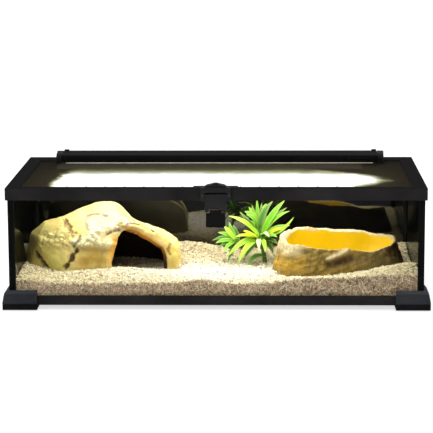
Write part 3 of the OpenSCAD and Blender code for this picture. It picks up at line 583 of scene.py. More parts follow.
def bed_colour(x, y, front):
    """Colour of granules at a place: cream on top, a painted pool of light near white in the middle, a painted
    shadow under the hide, and painted shade, mauve-brown, against the glass.
    """
    # A painted pool of light, near white, in the middle
    middle = np.exp(-(((x + 0.01) / 0.20) ** 2 + ((y + 0.08) / 0.09) ** 2))
    cream = lay(np.tile(tone(252, 238, 202), (len(x), 1)), tone(255, 253, 246), middle)
    # A painted shadow under the hide
    hide_shadow = np.exp(-(((x + 0.19) / 0.095) ** 4 + ((y + 0.005) / 0.06) ** 4))
    cream = lay(cream, tone(150, 122, 92), hide_shadow * 0.85)
    # Painted shade: mauve-brown where the bed is cut by the front glass
    glass = np.tile(tone(222, 192, 164), (len(x), 1))
    return lay(cream, glass, front)


def granule_material(name, bumpy):
    t, at = begin(name)
    chip = t.painted("tint")
    fleck = t.noise(at, 900, 3, 0.6)
    col = t.stain(t.levels(fleck, 0.35, 0.75, 0.0, 0.55), chip, rgb(206, 178, 146))
    if bumpy:
        crumb = t.cells(at, 330)
        # Darker where the crumbs' edges sink: painted shade in the gaps between them
        col = t.stain(t.levels(crumb, 0.25, 0.75, 0.0, 0.75), col, rgb(150, 118, 92))
        normal = t.bump(crumb, -0.0016, 1.0)
    else:
        normal = t.bump(fleck, 0.0002, 0.8)
    return t.finish(col, 0.85, 0.15, normal)


bed_verts, bed_quads = bed_piece()
bed = make("bed_ground", bed_verts, bed_quads, granule_material("cob_granules_packed", True), "cob_granules")
# Share of the painted shade against the front glass
front_share = smoothstep(-bed_verts[:, 1], GLASS_Y - 0.004, GLASS_Y - 0.0015)
# The packed layer is painted darker (0.72), as shade in the gaps between the loose granules
paint(bed.data, "tint", bed_colour(bed_verts[:, 0], bed_verts[:, 1], front_share) * 0.72)
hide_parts("substrate")

# A granule: a three-sided splinter with a tapered end, 1 long
CHIP = np.array([[-0.5, -0.28, -0.22], [-0.5, 0.3, -0.2], [-0.46, 0.02, 0.3],
                 [0.5, -0.2, -0.16], [0.47, 0.24, -0.2], [0.52, 0.0, 0.2]])
CHIP_FACES = np.array([[0, 1, 2], [3, 5, 4], [0, 3, 4], [0, 4, 1], [1, 4, 5], [1, 5, 2], [2, 5, 3], [2, 3, 0]])


def rotations(yaw, pitch, roll):
    """A matrix for each granule that turns it about x, then y, then z."""
    def about(axis, angle):
        turn = np.tile(np.eye(3), (len(angle), 1, 1))
        i, j = (axis + 1) % 3, (axis + 2) % 3
        turn[:, i, i] = turn[:, j, j] = np.cos(angle)
        turn[:, j, i] = np.sin(angle)
        turn[:, i, j] = -turn[:, j, i]
        return turn

    return about(2, yaw) @ about(1, pitch) @ about(0, roll)


def chips(name, centre, yaw, pitch, roll, length, width, colours):
    n = len(centre)
    shape = CHIP[None] * np.stack([length, width, width], 1)[:, None, :]
    shape = shape * (1 + 0.16 * rng.standard_normal((n, 6, 3)))
    turned = np.einsum("nij,nkj->nki", rotations(yaw, pitch, roll), shape) + centre[:, None, :]
    lo = np.array([-GLASS_X + 0.0003, -GLASS_Y + 0.00015, FLOOR_TOP + 0.0003])
    hi = np.array([GLASS_X - 0.0003, GLASS_Y - 0.0003, 1.0])
    verts = np.clip(turned, lo, hi).reshape(-1, 3)
    faces = (CHIP_FACES[None] + 6 * np.arange(n)[:, None, None]).reshape(-1, 3)
    heap = make_triangles(name, verts, faces, CHIP_MATERIAL)
    paint(heap.data, "tint", np.repeat(colours, 6, 0))


CHIP_MATERIAL = granule_material("cob_granules", False)


def chip_tones(base, spread):
    n = len(base)
    light = np.exp(spread * rng.standard_normal(n))[:, None]
    warm = 1 + 0.07 * rng.standard_normal((n, 1)) * np.array([[0.4, -0.2, -1.0]])
    dark = (rng.random(n) < 0.07)[:, None]
    return np.clip(base * light * warm * np.where(dark, 0.45, 1.0), 0, 0.98)


def any_turn(n):
    return rng.uniform(0, 2 * math.pi, n)


# Of the loose granules on top, a bit over half lie in the front part, which the camera sees best
TOP_CHIPS, FRONT_SHARE, FRONT_END, EDGE = 30000, 0.55, -0.03, 0.002
near = rng.random(TOP_CHIPS) < FRONT_SHARE
top_x = rng.uniform(-GLASS_X + EDGE, GLASS_X - EDGE, TOP_CHIPS)
top_y = np.where(near, rng.uniform(-GLASS_Y + EDGE, FRONT_END, TOP_CHIPS),
                 rng.uniform(FRONT_END, GLASS_Y - EDGE, TOP_CHIPS))
top_z = np.array([bed_height(x, y) for x, y in zip(top_x, top_y)])


def under_something(x, y, z):
    for tree in sunk:
        p = Vector((x, y, z + 0.001))
        where, normal, _, dist = tree.find_nearest(p)
        if where is not None and (p - where).dot(normal) < 0 and dist > 0.002:
            return True
    return False


keep = np.array([not under_something(x, y, z) for x, y, z in zip(top_x, top_y, top_z)])
top_x, top_y, top_z = top_x[keep], top_y[keep], top_z[keep]
m = len(top_x)
length = rng.uniform(0.0042, 0.0075, m)
top_centre = np.stack([top_x, top_y, top_z - 0.0019 + rng.uniform(-0.0008, 0.0018, m)], 1)
# Top granules near the front glass take up to half of the painted shade
against = smoothstep(-top_y, GLASS_Y - 0.005, GLASS_Y - 0.0015) * 0.5
chips("bed_granules_top", top_centre, any_turn(m), rng.normal(0, 0.35, m), any_turn(m), length,
      length * rng.uniform(0.42, 0.65, m), chip_tones(bed_colour(top_x, top_y, against), 0.11))

# The granules pressed against the front pane, which show as a cut through the bed
m = 6400
front_x = rng.uniform(-GLASS_X + 0.001, GLASS_X - 0.001, m)
crest = np.array([bed_height(x, -GLASS_Y + 0.003) for x in front_x])
front_z = FLOOR_TOP + 0.001 + (crest - FLOOR_TOP - 0.0022 + 0.0016 * rng.random(m)) * rng.random(m)
length = rng.uniform(0.0046, 0.0086, m)
front_centre = np.stack([front_x, np.full(m, -GLASS_Y + 0.0014), front_z], 1)
# Granules pressed against the pane take the painted shade in full
front_tones = chip_tones(bed_colour(front_x, np.full(m, -GLASS_Y), np.ones(m)), 0.42)
chips("bed_granules_front", front_centre, rng.normal(0, 0.25, m), any_turn(m), any_turn(m), length,
      length * rng.uniform(0.34, 0.55, m), front_tones)


# ---- rock hide
def rock_material():
    t, at = begin("cave_resin")
    coat = t.painted("tint")
    stain = t.noise(at, 38, 6, 0.62, 0.5)
    speckle = t.noise(at, 420, 4, 0.65)
    pores = t.cells(at, 520)
    col = t.stain(t.levels(stain, 0.42, 0.7, 0.0, 0.32), coat, rgb(206, 170, 112))
    col = t.stain(t.levels(speckle, 0.56, 0.72, 0.0, 0.5), col, rgb(120, 96, 60))
    col = t.stain(t.levels(pores, 0.16, 0.05, 0.0, 0.4), col, rgb(130, 100, 66))
    height = t.plus(t.mul(speckle, 0.6), t.mul(t.levels(pores, 0.0, 0.3), 0.4))
    return t.finish(col, t.levels(stain, 0.3, 0.7, 0.52, 0.74), 0.3, t.bump(height, 0.0009, 0.7))


CAVE_MID = np.array([-0.227, 0.006, 0.06])
cave_mesh = voxel_copy("hide_cave", 0.0019, 4)
co = vectors(cave_mesh.vertices, "co")
no = vectors(cave_mesh.vertex_normals, "vector")
x, y, z = co.T
inward = ((co - CAVE_MID) * no).sum(1)
inside = smoothstep(-inward, -0.002, 0.006)
outside = 1 - inside
broad = field(co, 16, 3, 2.0)
lumps = field(co, 52, 4, 3.0)
knobs = np.abs(field(co, 85, 3, 4.0))
fine = field(co, 210, 4, 5.0)
ragged = 0.9 * field(co, 130, 3, 6.0)
mottle = 0.5 + 0.5 * np.clip(field(co, 95, 3, 7.0) * 2.2, -1, 1)
spots = Spots(cave_mesh, co, outside, ragged)
rock, torn = spots.smooth, spots.torn

upper_ledge = rock([(92, 234), (98, 232.5), (104.5, 230), (112, 226), (120, 223)], 0.019)
lower_ledge = rock([(76, 243.5), (84, 243), (93.6, 241.5), (102, 244), (111, 243)], 0.018)
cluster = rock([(44, 240), (50, 238), (59, 239), (66, 243)], 0.024)
under_ledge_shade = rock([(80, 250), (95, 251), (108, 251)], 0.016)
boulder = rock([(53, 255), (58, 261), (61, 266)], 0.032)
ear = rock([(94, 220), (104, 219)], 0.028)
ear_rim = torn([(87.5, 230), (85, 223), (86, 215), (92, 212), (101, 211.6), (106.5, 214)], 0.0042)
canopy = rock([(124, 224), (133, 222), (143, 222), (152.5, 228), (162, 232), (170, 239), (175, 247), (177, 256)],
              0.020)
canopy_top = rock([(127, 222), (134, 220.5), (143, 220), (151, 224.5), (158, 229)], 0.012)
canopy_edge = rock([(124, 226.5), (133, 230), (141.6, 233.5), (150, 238), (158, 243.5), (164, 251), (165.5, 264)],
                   0.009)
crack_a = torn([(64.4, 219), (66, 224.3), (68.6, 229.2), (70.6, 233.5)], 0.0078)
crack_b = torn([(77.4, 247.5), (75, 252), (73, 256), (70.2, 261.3), (66, 267.5)], 0.0056)
crack_c = torn([(38.7, 253), (41.5, 257), (44.6, 261), (48.5, 268)], 0.0078)
crack_d = torn([(105.5, 235), (110, 233), (115, 231), (118.5, 230)], 0.0036)
crease = torn([(75, 246), (79, 240), (80, 236)], 0.0045)
fold = torn([(170, 244.5), (168, 249), (169, 254)], 0.0042)
pit = torn([(153, 227.5), (156, 228.3)], 0.0040)
notch = rock([(134.5, 216), (131, 222)], 0.008)
shoulder = rock([(140, 214), (150, 218), (160, 224), (170, 233), (178, 244)], 0.030) * smoothstep(no[:, 2], -0.1, 0.5)
left_end = smoothstep(-x, 0.310, 0.350) * smoothstep(-no[:, 0], 0.1, 0.7) * outside
back_shade = smoothstep(no[:, 1], -0.05, 0.45) * outside
# Painted shade in the dips between the knobs
shaded_hollows = 1 - smoothstep(knobs, 0.02, 0.13)

move = outside * (0.0024 * broad + 0.0011 * lumps + 0.0004 * fine)
move += upper_ledge * (0.0066 * knobs + 0.0026 * lumps + 0.0024)
move += lower_ledge * (0.0070 * knobs + 0.0026 * lumps + 0.0026)
move += cluster * (0.0062 * knobs + 0.0030 * lumps)
move += canopy * (0.0022 * lumps + 0.0034 * knobs) + canopy_top * 0.0050 * knobs
move += boulder * 0.0050 + under_ledge_shade * -0.0030 + ear * -0.0030 + left_end * 0.0085
move -= 0.0026 * ear_rim + 0.0034 * crack_a + 0.0072 * crack_b + 0.0068 * crack_c + 0.0040 * crack_d
move -= 0.0032 * crease + 0.0030 * pit + 0.0052 * notch + 0.0060 * shoulder + 0.0028 * fold
move += inside * (0.0016 * lumps + 0.0006 * fine)
moved = co + no * move[:, None]
moved[:, 2] -= 0.0085 * smoothstep(y, -0.075, -0.030) * smoothstep(x, -0.205, -0.165) \
    * smoothstep(z, 0.075, 0.120) + 0.0042 * smoothstep(z, 0.125, 0.170)
set_coords(cave_mesh, moved)

wobble = 0.5 + 0.5 * np.clip(lumps * 1.6, -1, 1)
left_flank = smoothstep(-x, 0.270, 0.350)
low = smoothstep(-z, -0.105, -0.050)
cave_paint = layered((236, 214, 142), (
    # The crown is painted darker than its own cream: painted shade that holds back the strong lamp light on top
    (178, 168, 128, rock([(90, 206), (104, 203), (114, 205), (122, 211), (131, 219)], 0.050) * 0.95),
    (238, 224, 132, rock([(72, 218), (78, 228), (80, 212)], 0.030) * 0.7),
    (226, 208, 118, left_flank * 0.75),
    (190, 168, 88, left_flank * (0.25 + 0.75 * low) * (0.3 + 0.7 * mottle) * outside * 0.6),
    (212, 190, 100, smoothstep(-broad, 0.1, 0.6) * outside * 0.35),
    # The ear is painted greyer than its own cream: painted shade against the lamp light
    (190, 182, 162, rock([(96, 222), (104, 219), (112, 218), (121, 218), (128, 220)], 0.034) * 0.95),
    (150, 132, 108, ear_rim * 0.75),
    (228, 214, 186, rock([(90, 219), (93, 226)], 0.018) * 0.5),
    (248, 238, 204, upper_ledge * (0.45 + 0.55 * wobble)),
    (156, 142, 92, upper_ledge * shaded_hollows * mottle * 0.7),
    (255, 250, 214, lower_ledge * (0.45 + 0.55 * wobble)),
    (140, 140, 90, lower_ledge * shaded_hollows * (0.4 + 0.6 * mottle)),
    (238, 228, 160, cluster * wobble * 0.85),
    (116, 108, 58, cluster * shaded_hollows * (0.5 + 0.5 * mottle)),
    (212, 200, 108, boulder * 0.75),
    # A painted highlight on the boulder
    (228, 220, 136, rock([(55, 258), (60, 262)], 0.014) * 0.7),
    # Painted shade under the lower ledge
    (154, 130, 64, under_ledge_shade * 0.7),
    (180, 146, 58, rock([(84, 262), (92, 258), (104, 261)], 0.028) * 0.85),
    (232, 164, 34, rock([(112, 262), (113, 252), (116, 240)], 0.014) * 0.9),
    (206, 182, 98, canopy * 0.8),
    (140, 130, 84, canopy * shaded_hollows * mottle * 0.7),
    # A painted highlight along the top of the canopy
    (226, 216, 188, canopy_top * (0.5 + 0.5 * wobble)),
    (132, 124, 86, canopy_top * shaded_hollows * mottle * 0.8),
    (216, 160, 66, canopy_edge * 0.85),
    (216, 190, 94, rock([(171, 245), (175, 256), (172, 265)], 0.018) * 0.8),
    (150, 112, 56, fold * 0.8),
    # A painted patch of light on the left end, which faces away from the lamp
    (240, 216, 128, rock([(34, 248), (36, 256), (40, 262)], 0.030) * (0.4 + 0.6 * wobble) * 0.8),
    (138, 104, 84, crack_a * (0.3 + 0.7 * mottle) * 0.9),
    (66, 42, 36, crack_b * 0.92),
    (74, 54, 38, crack_c * 0.9),
    (108, 88, 90, crack_d * (0.4 + 0.6 * mottle) * 0.9),
    (104, 88, 58, crease * 0.7),
    (96, 76, 44, pit * 0.7),
    # Painted shade on the rear-facing side
    (74, 68, 52, back_shade * 0.9),
    # Painted shade inside the hide: the hollow is painted dark brown
    (54, 34, 16, inside),
    (206, 140, 44, inside * smoothstep(-y, 0.02, 0.075) * smoothstep(z, 0.060, 0.10) * 0.9)))
cave = place("hide_shell", cave_mesh, rock_material())
paint(cave_mesh, "tint", cave_paint)
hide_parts("hide_cave")

# ---- rock water dish
dish_mesh = voxel_copy("water_dish", 0.0017, 9)
co = vectors(dish_mesh.vertices, "co")
no = vectors(dish_mesh.vertex_normals, "vector")
x, y, z = co.T
DISH_MID = np.array([0.242, -0.020])
DISH_LONG, DISH_WIDE = 0.126, 0.076
TURN = math.radians(14)
flat = co[:, :2] - DISH_MID
u = flat[:, 0] * math.cos(TURN) + flat[:, 1] * math.sin(TURN)
v = -flat[:, 0] * math.sin(TURN) + flat[:, 1] * math.cos(TURN)
around = np.arctan2(v / DISH_WIDE, u / DISH_LONG)
radial = np.hypot(u / DISH_LONG, v / DISH_WIDE)
facing_in = -(no[:, 0] * flat[:, 0] + no[:, 1] * flat[:, 1]) / np.maximum(np.linalg.norm(flat, axis=1), 1e-6)
basin = np.clip(smoothstep(facing_in, 0.1, 0.5) + smoothstep(0.78 - radial, 0.0, 0.08), 0, 1) \
    * smoothstep(z, 0.055, 0.060)
outer = (1 - basin) * smoothstep(-facing_in, 0.0, 0.45)
rim = (1 - basin) * (1 - outer)
lumps = field(co, 42, 4, 11.0)
knobs = np.abs(field(co, 60, 3, 12.0))
strata = field(np.stack([x * 0.35, y * 0.35, (z - 0.3 * u) * 1.8], 1), 70, 3, 13.0)
ribs = field(np.stack([x * 1.9 + z * 0.5, y * 1.9, z * 0.6], 1), 60, 3, 14.0)
fine = field(co, 230, 3, 15.0)
move = outer * (0.0026 * lumps + 0.0016 * strata + 0.0012 * ribs + 0.0003 * fine)
move += rim * (0.0022 * lumps + 0.0028 * knobs - 0.0008)
move += basin * 0.0004 * lumps
ragged = 0.9 * field(co, 130, 3, 16.0)
patches = 0.5 + 0.5 * np.clip(field(co, 60, 3, 17.0) * 2.2, -1, 1)
spots = Spots(dish_mesh, co, outer, ragged)
stone, stone_torn = spots.smooth, spots.torn

ledge = stone([(328, 259.5), (338, 255), (347, 251), (358, 248.5), (372, 247.5)], 0.0075)
groove = stone([(327, 264.5), (338, 263.5), (351, 259.5)], 0.0125)
dent = stone([(276, 247), (277, 253)], 0.009)
knee = stone([(306, 262), (318, 258)], 0.020)
move += 0.0045 * ledge - 0.0052 * groove - 0.0030 * dent + 0.0024 * knee
move -= 0.0030 * stone_torn([(320, 253), (322, 262), (318, 270)], 0.007)
moved = co + no * move[:, None]
set_coords(dish_mesh, moved)

wobble = 0.5 + 0.5 * np.clip(ribs * 1.6, -1, 1)
right = smoothstep(u, -0.01, 0.07)
left_end = smoothstep(-u, 0.080, 0.112)
behind_shade = smoothstep(no[:, 1], 0.0, 0.5) * outer
SECTORS = 90
sector = ((around + math.pi) / (2 * math.pi) * SECTORS).astype(int) % SECTORS
crests = np.array([z[sector == k].max() for k in range(SECTORS)])
crest_here = np.interp(around, (np.arange(-1, SECTORS + 1) + 0.5) / SECTORS * 2 * math.pi - math.pi,
                       np.concatenate([crests[-1:], crests, crests[:1]]))
edge_depth = np.interp(around, (-math.pi, -2.7, -2.2, -0.8, 0.0, 0.8, 2.2, 2.7, math.pi),
                       (0.013, 0.009, 0.0030, 0.0026, 0.0050, 0.0046, 0.0060, 0.0110, 0.013))
below_crest = crest_here - z + 0.0012 * ragged + 0.0030 * lumps
glazed = basin * smoothstep(below_crest, edge_depth - 0.0012, edge_depth + 0.0012)
shelf = basin - glazed + rim
dish_paint = layered((142, 118, 56), (
    (182, 150, 74, wobble * (1 - right) * 0.7),
    (106, 84, 36, smoothstep(-strata, 0.0, 0.5) * (1 - right) * 0.65),
    (150, 132, 86, right * 0.75),
    (112, 98, 60, right * patches * 0.5),
    (120, 106, 52, stone([(306, 254), (316, 253), (324, 255)], 0.018) * patches * 0.8),
    (240, 226, 186, ledge * (0.55 + 0.45 * patches) * 0.9),
    (78, 52, 42, groove * (0.5 + 0.5 * patches)),
    (120, 92, 70, stone([(352, 262), (366, 258)], 0.014) * patches * 0.6),
    (78, 54, 36, stone_torn([(385, 246), (391, 250), (396, 247), (401, 257)], 0.020) * 0.85),
    (192, 150, 48, stone([(276, 262), (288, 266), (300, 264)], 0.024) * (0.4 + 0.6 * wobble)),
    (104, 82, 42, stone([(284, 250), (300, 250.5), (312, 251.5)], 0.007) * patches * 0.6),
    (214, 198, 158, left_end * smoothstep(z, 0.076, 0.096) * outer * 0.85),
    # Painted shade on the rear-facing side
    (62, 54, 40, behind_shade * 0.9),
    (236, 224, 188, shelf * 0.95),
    (218, 182, 104, shelf * smoothstep(-lumps, 0.05, 0.4) * 0.7),
    (176, 160, 96, shelf * smoothstep(u, 0.075, 0.11) * 0.8),
    (196, 128, 44, rim * smoothstep(patches, 0.8, 1.0) * smoothstep(-v, 0.02, 0.05) * 0.6),
    (216, 180, 2, glazed)))


def dish_material():
    """Rough cast rock outside and a smooth yellow glaze in the basin."""
    t, at = begin("dish_resin")
    col = t.painted("tint")
    wet = t.add("SeparateColor", {0: t.painted("glaze")}).outputs[0]
    veins = t.noise(t.stretch(at, (150, 150, 42)), 1, 5, 0.65, 0.7)
    speckle = t.noise(at, 480, 4, 0.65)
    rough_col = t.stain(t.levels(veins, 0.45, 0.66, 0.0, 0.36), col, rgb(150, 116, 66))
    rough_col = t.stain(t.levels(speckle, 0.56, 0.72, 0.0, 0.5), rough_col, rgb(120, 96, 60))
    even = t.stain(t.levels(t.noise(at, 26, 3), 0.35, 0.7, 0.0, 0.16), col, rgb(236, 200, 150))
    height = t.mul(t.plus(t.mul(veins, 0.6), t.mul(speckle, 0.4)), t.levels(wet, 0.0, 1.0, 1.0, 0.08))
    return t.finish(t.mix(wet, rough_col, even), t.levels(wet, 0.0, 1.0, 0.62, 0.42), 0.3,
                    t.bump(height, 0.0009, 0.7))


dish = place("dish_shell", dish_mesh, dish_material())
paint(dish_mesh, "tint", dish_paint)
paint(dish_mesh, "glaze", glazed[:, None])
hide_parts("water_dish")

# ---- plant
# Leaves in millimetres: root (3), tip (3), half of the width, bow of the middle (3), and the kind of green
LEAVES = [
    (79, 35, 124, 77, 44, 172, 3.6, 0, 0, 0, "n"), (80, 34, 124, 67, 30, 164, 3.8, -1, 0, -2, "n"),
    (80, 34, 122, 87, 60, 162, 3.4, 0, 0, 0, "d"), (84, 29, 98, 109, 50, 168, 7, -9, -5, 6, "d"),
    (88, 28, 99, 133, 14, 176, 6.6, -5, -6, 4, "n"), (89, 30, 98, 138, 66, 152, 4.6, -4, 0, 5, "d"),
    (90, 28, 99, 143, 10, 155, 5.4, -7, -6, 8, "n"), (90, 26, 98, 151, -2, 145, 4.4, 5, -4, -6, "l"),
    (90, 29, 96, 144, 36, 120, 5.8, -2, -4, 8, "n"), (91, 27, 95, 134, 8, 120, 5.4, -3, -3, 6, "y"),
    (79, 34, 120, 52, 30, 151, 6.4, 3, -4, 6, "n"), (79, 31, 119, 56, 8, 148, 5.4, 3, -4, 5, "n"),
    (83, 29, 96, 42, 54, 145, 4.8, 0, 0, 3, "d"), (83, 28, 96, 20, 20, 143, 6, 5, -4, 8, "l"),
    (85, 29, 102, 102, -18, 107, 3.8, 0, -2, 7, "w"), (83, 26, 95, 82, -24, 78, 4.4, -2, -5, 9, "w"),
    (86, 25, 94, 94, -22, 76, 4.8, 1, -4, 8, "l"), (90, 28, 94, 118, -8, 105, 4.6, 0, -2, 7, "n"),
    (90, 28, 90, 118, 0, 90, 5.4, 2, -2, 5, "d"), (90, 28, 87, 110, 4, 68, 5, 3, -2, 5, "d"),
    (38, 27, 89, 21, 38, 127, 5, -3, -2, 0, "n"), (36, 26, 90, 11, 28, 121, 5, -2, -3, 3, "l"),
    (41, 26, 88, 29, 62, 116, 4.2, 0, 0, 3, "d"), (34, 26, 91, -2, 34, 106, 4.8, 0, -2, 5, "n"),
    (33, 25, 90, -13, 22, 92, 4.4, 0, -2, 7, "d"), (34, 24, 88, -6, 6, 90, 4.6, 0, -3, 6, "n"),
    (34, 25, 88, -1, 0, 80, 4, 0, -2, 6, "d"), (36, 23, 88, 11, -16, 74, 4.6, -3, -3, 6, "n"),
    (83, 27, 94, 36, -8, 106, 5.6, -2, -5, 6, "y"), (83, 27, 95, 50, -16, 119, 5.6, -3, -6, 4, "y"),
    (84, 26, 93, 16, -6, 63, 6, 2, -7, 16, "l"), (86, 26, 92, 39, -18, 53, 6, -2, -7, 15, "l"),
    (40, 26, 88, 19, 4, 52, 5.4, 0, -3, 8, "d"), (94, 24, 60, 59, -8, 47, 5.6, -4, -4, 9, "d"),
    (84, 28, 92, 49, 14, 52, 5, 0, -2, 7, "d"), (86, 31, 96, 58, 92, 120, 5.8, 0, 4, 8, "n"),
    (88, 31, 96, 100, 100, 128, 6.2, 0, 4, 8, "d"), (90, 31, 94, 126, 82, 100, 5.6, 0, 3, 8, "n"),
    (86, 31, 92, 70, 86, 70, 5.4, 0, 4, 11, "d"), (88, 31, 92, 112, 78, 64, 5.4, 2, 3, 11, "d"),
    (81, 36, 123, 96, 74, 159, 4.8, 0, 3, 4, "n"), (79, 36, 123, 60, 70, 152, 4.8, 0, 3, 4, "n"),
    (34, 29, 90, 14, 62, 102, 5, 0, 3, 7, "n"), (38, 29, 90, 44, 70, 94, 5, 0, 4, 8, "d"),
    (34, 29, 88, 6, 54, 80, 4.6, 0, 3, 7, "d"), (83, 29, 94, 42, 66, 74, 5.2, 0, 4, 9, "d")
]
# Kinds of green: n plain and y yellow; l lime and w whitish are painted light on lit leaves, d dark is painted shade
GREENS = {"n": tone(112, 182, 32), "l": tone(178, 228, 56), "y": tone(218, 236, 30), "d": tone(50, 114, 28),
          "w": tone(222, 238, 186)}
LEAF_STEPS = 14
LEAF_BROAD, LEAF_THICK = 1.08, 2.1
LEAF_WIDTH = ((0, 0.14, 0.28, 0.45, 0.6, 0.72, 0.84, 0.93, 1), (0.5, 0.78, 0.95, 1.0, 0.93, 0.76, 0.5, 0.27, 0.05))
# Across a leaf: share of the half width, height in shares of the half thickness, share of painted edge highlight
SECTION = ((-1, 1.0, 0.8), (-0.62, 0.3, 0.2), (0, -0.2, 0.0), (0.62, 0.3, 0.2), (1, 1.0, 0.8), (0.6, -0.7, 0.3),
           (0, -1.1, 0.0), (-0.6, -0.7, 0.3))
leaf_random = random.Random(7)
leaf_verts, leaf_faces, leaf_tint = [], [], []
for *numbers, kind in LEAVES:
    root, tip, (half,), bow = np.split(np.array(numbers, float), (3, 6, 7))
    way = (tip - root) / np.linalg.norm(tip - root)
    side = np.cross(way, (0, -0.6, 0.8))
    side /= np.linalg.norm(side)
    upper = -np.cross(way, side)
    twist = leaf_random.uniform(-0.35, 0.35)
    hue = GREENS[kind] * leaf_random.uniform(0.9, 1.1)
    # A painted highlight along the raised edges of each leaf
    edge_highlight = hue * 0.5 + tone(234, 246, 140) * 0.5
    first = len(leaf_verts)
    for k in range(LEAF_STEPS + 1):
        s = k / LEAF_STEPS
        mid = root + (tip - root) * s + bow * 4 * s * (1 - s)
        roll = twist * s
        across = side * math.cos(roll) + upper * math.sin(roll)
        lift = upper * math.cos(roll) - side * math.sin(roll)
        wide = LEAF_BROAD * half * np.interp(s, *LEAF_WIDTH)
        thick = LEAF_THICK * (1 - 0.78 * s)
        for a, b, edge in SECTION:
            leaf_verts.append((mid + across * wide * a + lift * thick * b) * MM)
            col = hue * (1 - edge) + edge_highlight * edge
            # Painted shade on the underside
            col = col * (1 - 0.35 * (b < -0.5)) if kind != "w" else col
            shade = 0.45 * (1 - s) ** 4
            col = col * (1 - shade) + tone(120, 160, 30) * shade
            # Painted highlight towards the tip
            leaf_tint.append(col * (1 - 0.35 * s ** 6) + tone(226, 238, 150) * 0.35 * s ** 6)
    leaf_faces += tube(first, LEAF_STEPS, len(SECTION))


def leaf_material():
    t, at = begin("leaf_plastic")
    tint = t.painted("tint")
    streak = t.noise(at, 260, 4, 0.6)
    cloud = t.noise(at, 40, 3)
    col = t.stain(t.levels(cloud, 0.35, 0.65, 0.0, 0.3), tint, rgb(170, 210, 120))
    col = t.stain(t.levels(streak, 0.5, 0.7, 0.0, 0.25), col, rgb(150, 200, 110))
    return t.finish(col, t.levels(cloud, 0.3, 0.7, 0.34, 0.48), 0.4, t.bump(streak, 0.0002, 0.5),
                    Subsurface_Weight=0.12, Subsurface_Radius=(0.3, 1.0, 0.15), Subsurface_Scale=0.002)


foliage = make("plant_foliage", leaf_verts, leaf_faces, leaf_material(), "leaf_plastic")
paint(foliage.data, "tint", np.array(leaf_tint))
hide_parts("plant_leaves")

# ---- woven lid screen
SCREEN_X = 0.3773
SCREEN_Y = (-0.1863, 0.1598)
WIRE_PITCH = 0.0018
WIRE_R = 0.00021
UPPER_WIRES, LOWER_WIRES = 0.23345, 0.23315
LOBE_FIRST, LOBE_PITCH = -0.2675, 0.0369


def screen_material():
    """Black coated wire, with painted light: emission on the wire stands in for the lamp's light raking over the
    mesh, in lobes at the front edge.
    """
    t, at = begin("screen_wire")
    x, y = t.xyz(at)[:2]
    blur = t.noise(at, 24, 3, 0.6)
    speck = t.noise(at, 420, 2, 0.6)
    peaks = t.math("POWER", t.levels(t.wave(x, LOBE_FIRST, LOBE_PITCH), -1, 1), 0.5)
    front = t.soft(t.plus(y, t.levels(peaks, 0, 1, 0.156, 0.200)), -0.012, 0.014)
    shift = t.plus(t.levels(blur, 0.25, 0.75, -0.011, 0.011), t.levels(speck, 0.2, 0.8, -0.008, 0.008))
    rear = t.math("POWER", t.levels(t.plus(y, shift), 0.092, -0.022), 2.6)
    upper = t.math("POWER", t.math("MAXIMUM", t.plus(y, 0.11), 0.0), 2.0)
    lower = t.math("POWER", t.math("MAXIMUM", t.math("SUBTRACT", -0.135, y), 0.0), 2.0)
    corner = t.plus(t.mul(upper, 0.9), t.mul(lower, 12.0))
    left = t.soft(t.plus(t.math("SUBTRACT", x, corner), shift), -0.326, -0.304)
    above = t.plus(y, 0.097)
    slope = t.math("MAXIMUM", t.math("POWER", t.mul(t.math("MAXIMUM", above, 0.0), 1 / 0.41), 2.0),
                   t.mul(above, -1 / 1.35))
    right = t.math("POWER", t.soft(t.plus(x, slope, shift), 0.352, 0.292), 1.6)
    # glow, faint and fringe are the painted light, given as emission
    glow = t.mul(t.mul(front, rear), t.mul(left, right))
    near = t.mul(t.levels(t.math("ABSOLUTE", x), 0.37, 0.30, 0.35, 1.0), t.levels(y, 0.16, -0.06, 0.22, 1.2))
    faint = t.mul(near, t.levels(blur, 0.2, 0.8, 0.035, 0.06))
    fringe = t.mul(left, right, t.soft(y, -0.120, -0.160, 0.0, 0.34))
    shine = t.ramp(glow, (0.0, rgb(190, 172, 120)), (0.06, rgb(196, 200, 130)), (0.3, rgb(226, 230, 186)),
                   (0.8, rgb(255, 255, 247)))
    coat = t.noise(at, 1200, 2)
    return t.finish(t.ramp(coat, (0.3, rgb(22, 20, 17)), (0.7, rgb(38, 35, 28))), 0.6, 0.1,
                    t.bump(coat, 0.00003, 0.5), Emission_Color=shine,
                    Emission_Strength=t.plus(t.mul(glow, 1.25), faint, fringe))


def woven_screen():
    nx = int(2 * SCREEN_X / WIRE_PITCH)
    ny = int((SCREEN_Y[1] - SCREEN_Y[0]) / WIRE_PITCH)
    verts, quads = [], []
    ring = [(1, 0), (0, 1), (-1, 0), (0, -1)]

    def wire(a, b, across):
        quads.extend(tube(len(verts), 1, len(ring)))
        for end in (a, b):
            for c, s in ring:
                verts.append((end[0] + across[0] * c * WIRE_R, end[1] + across[1] * c * WIRE_R, end[2] + s * WIRE_R))

    for i in range(nx + 1):
        x = -SCREEN_X + WIRE_PITCH * (i + 0.4)
        if x < SCREEN_X:
            wire((x, SCREEN_Y[0], UPPER_WIRES), (x, SCREEN_Y[1], UPPER_WIRES), (1, 0))
    for j in range(ny + 1):
        y = SCREEN_Y[0] + WIRE_PITCH * (j + 0.4)
        if y < SCREEN_Y[1]:
            wire((-SCREEN_X, y, LOWER_WIRES), (SCREEN_X, y, LOWER_WIRES), (0, 1))
    return verts, quads


screen = make("screen_weave", *woven_screen(), screen_material(), "screen_wire", False, "lid")
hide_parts("lid_screen")

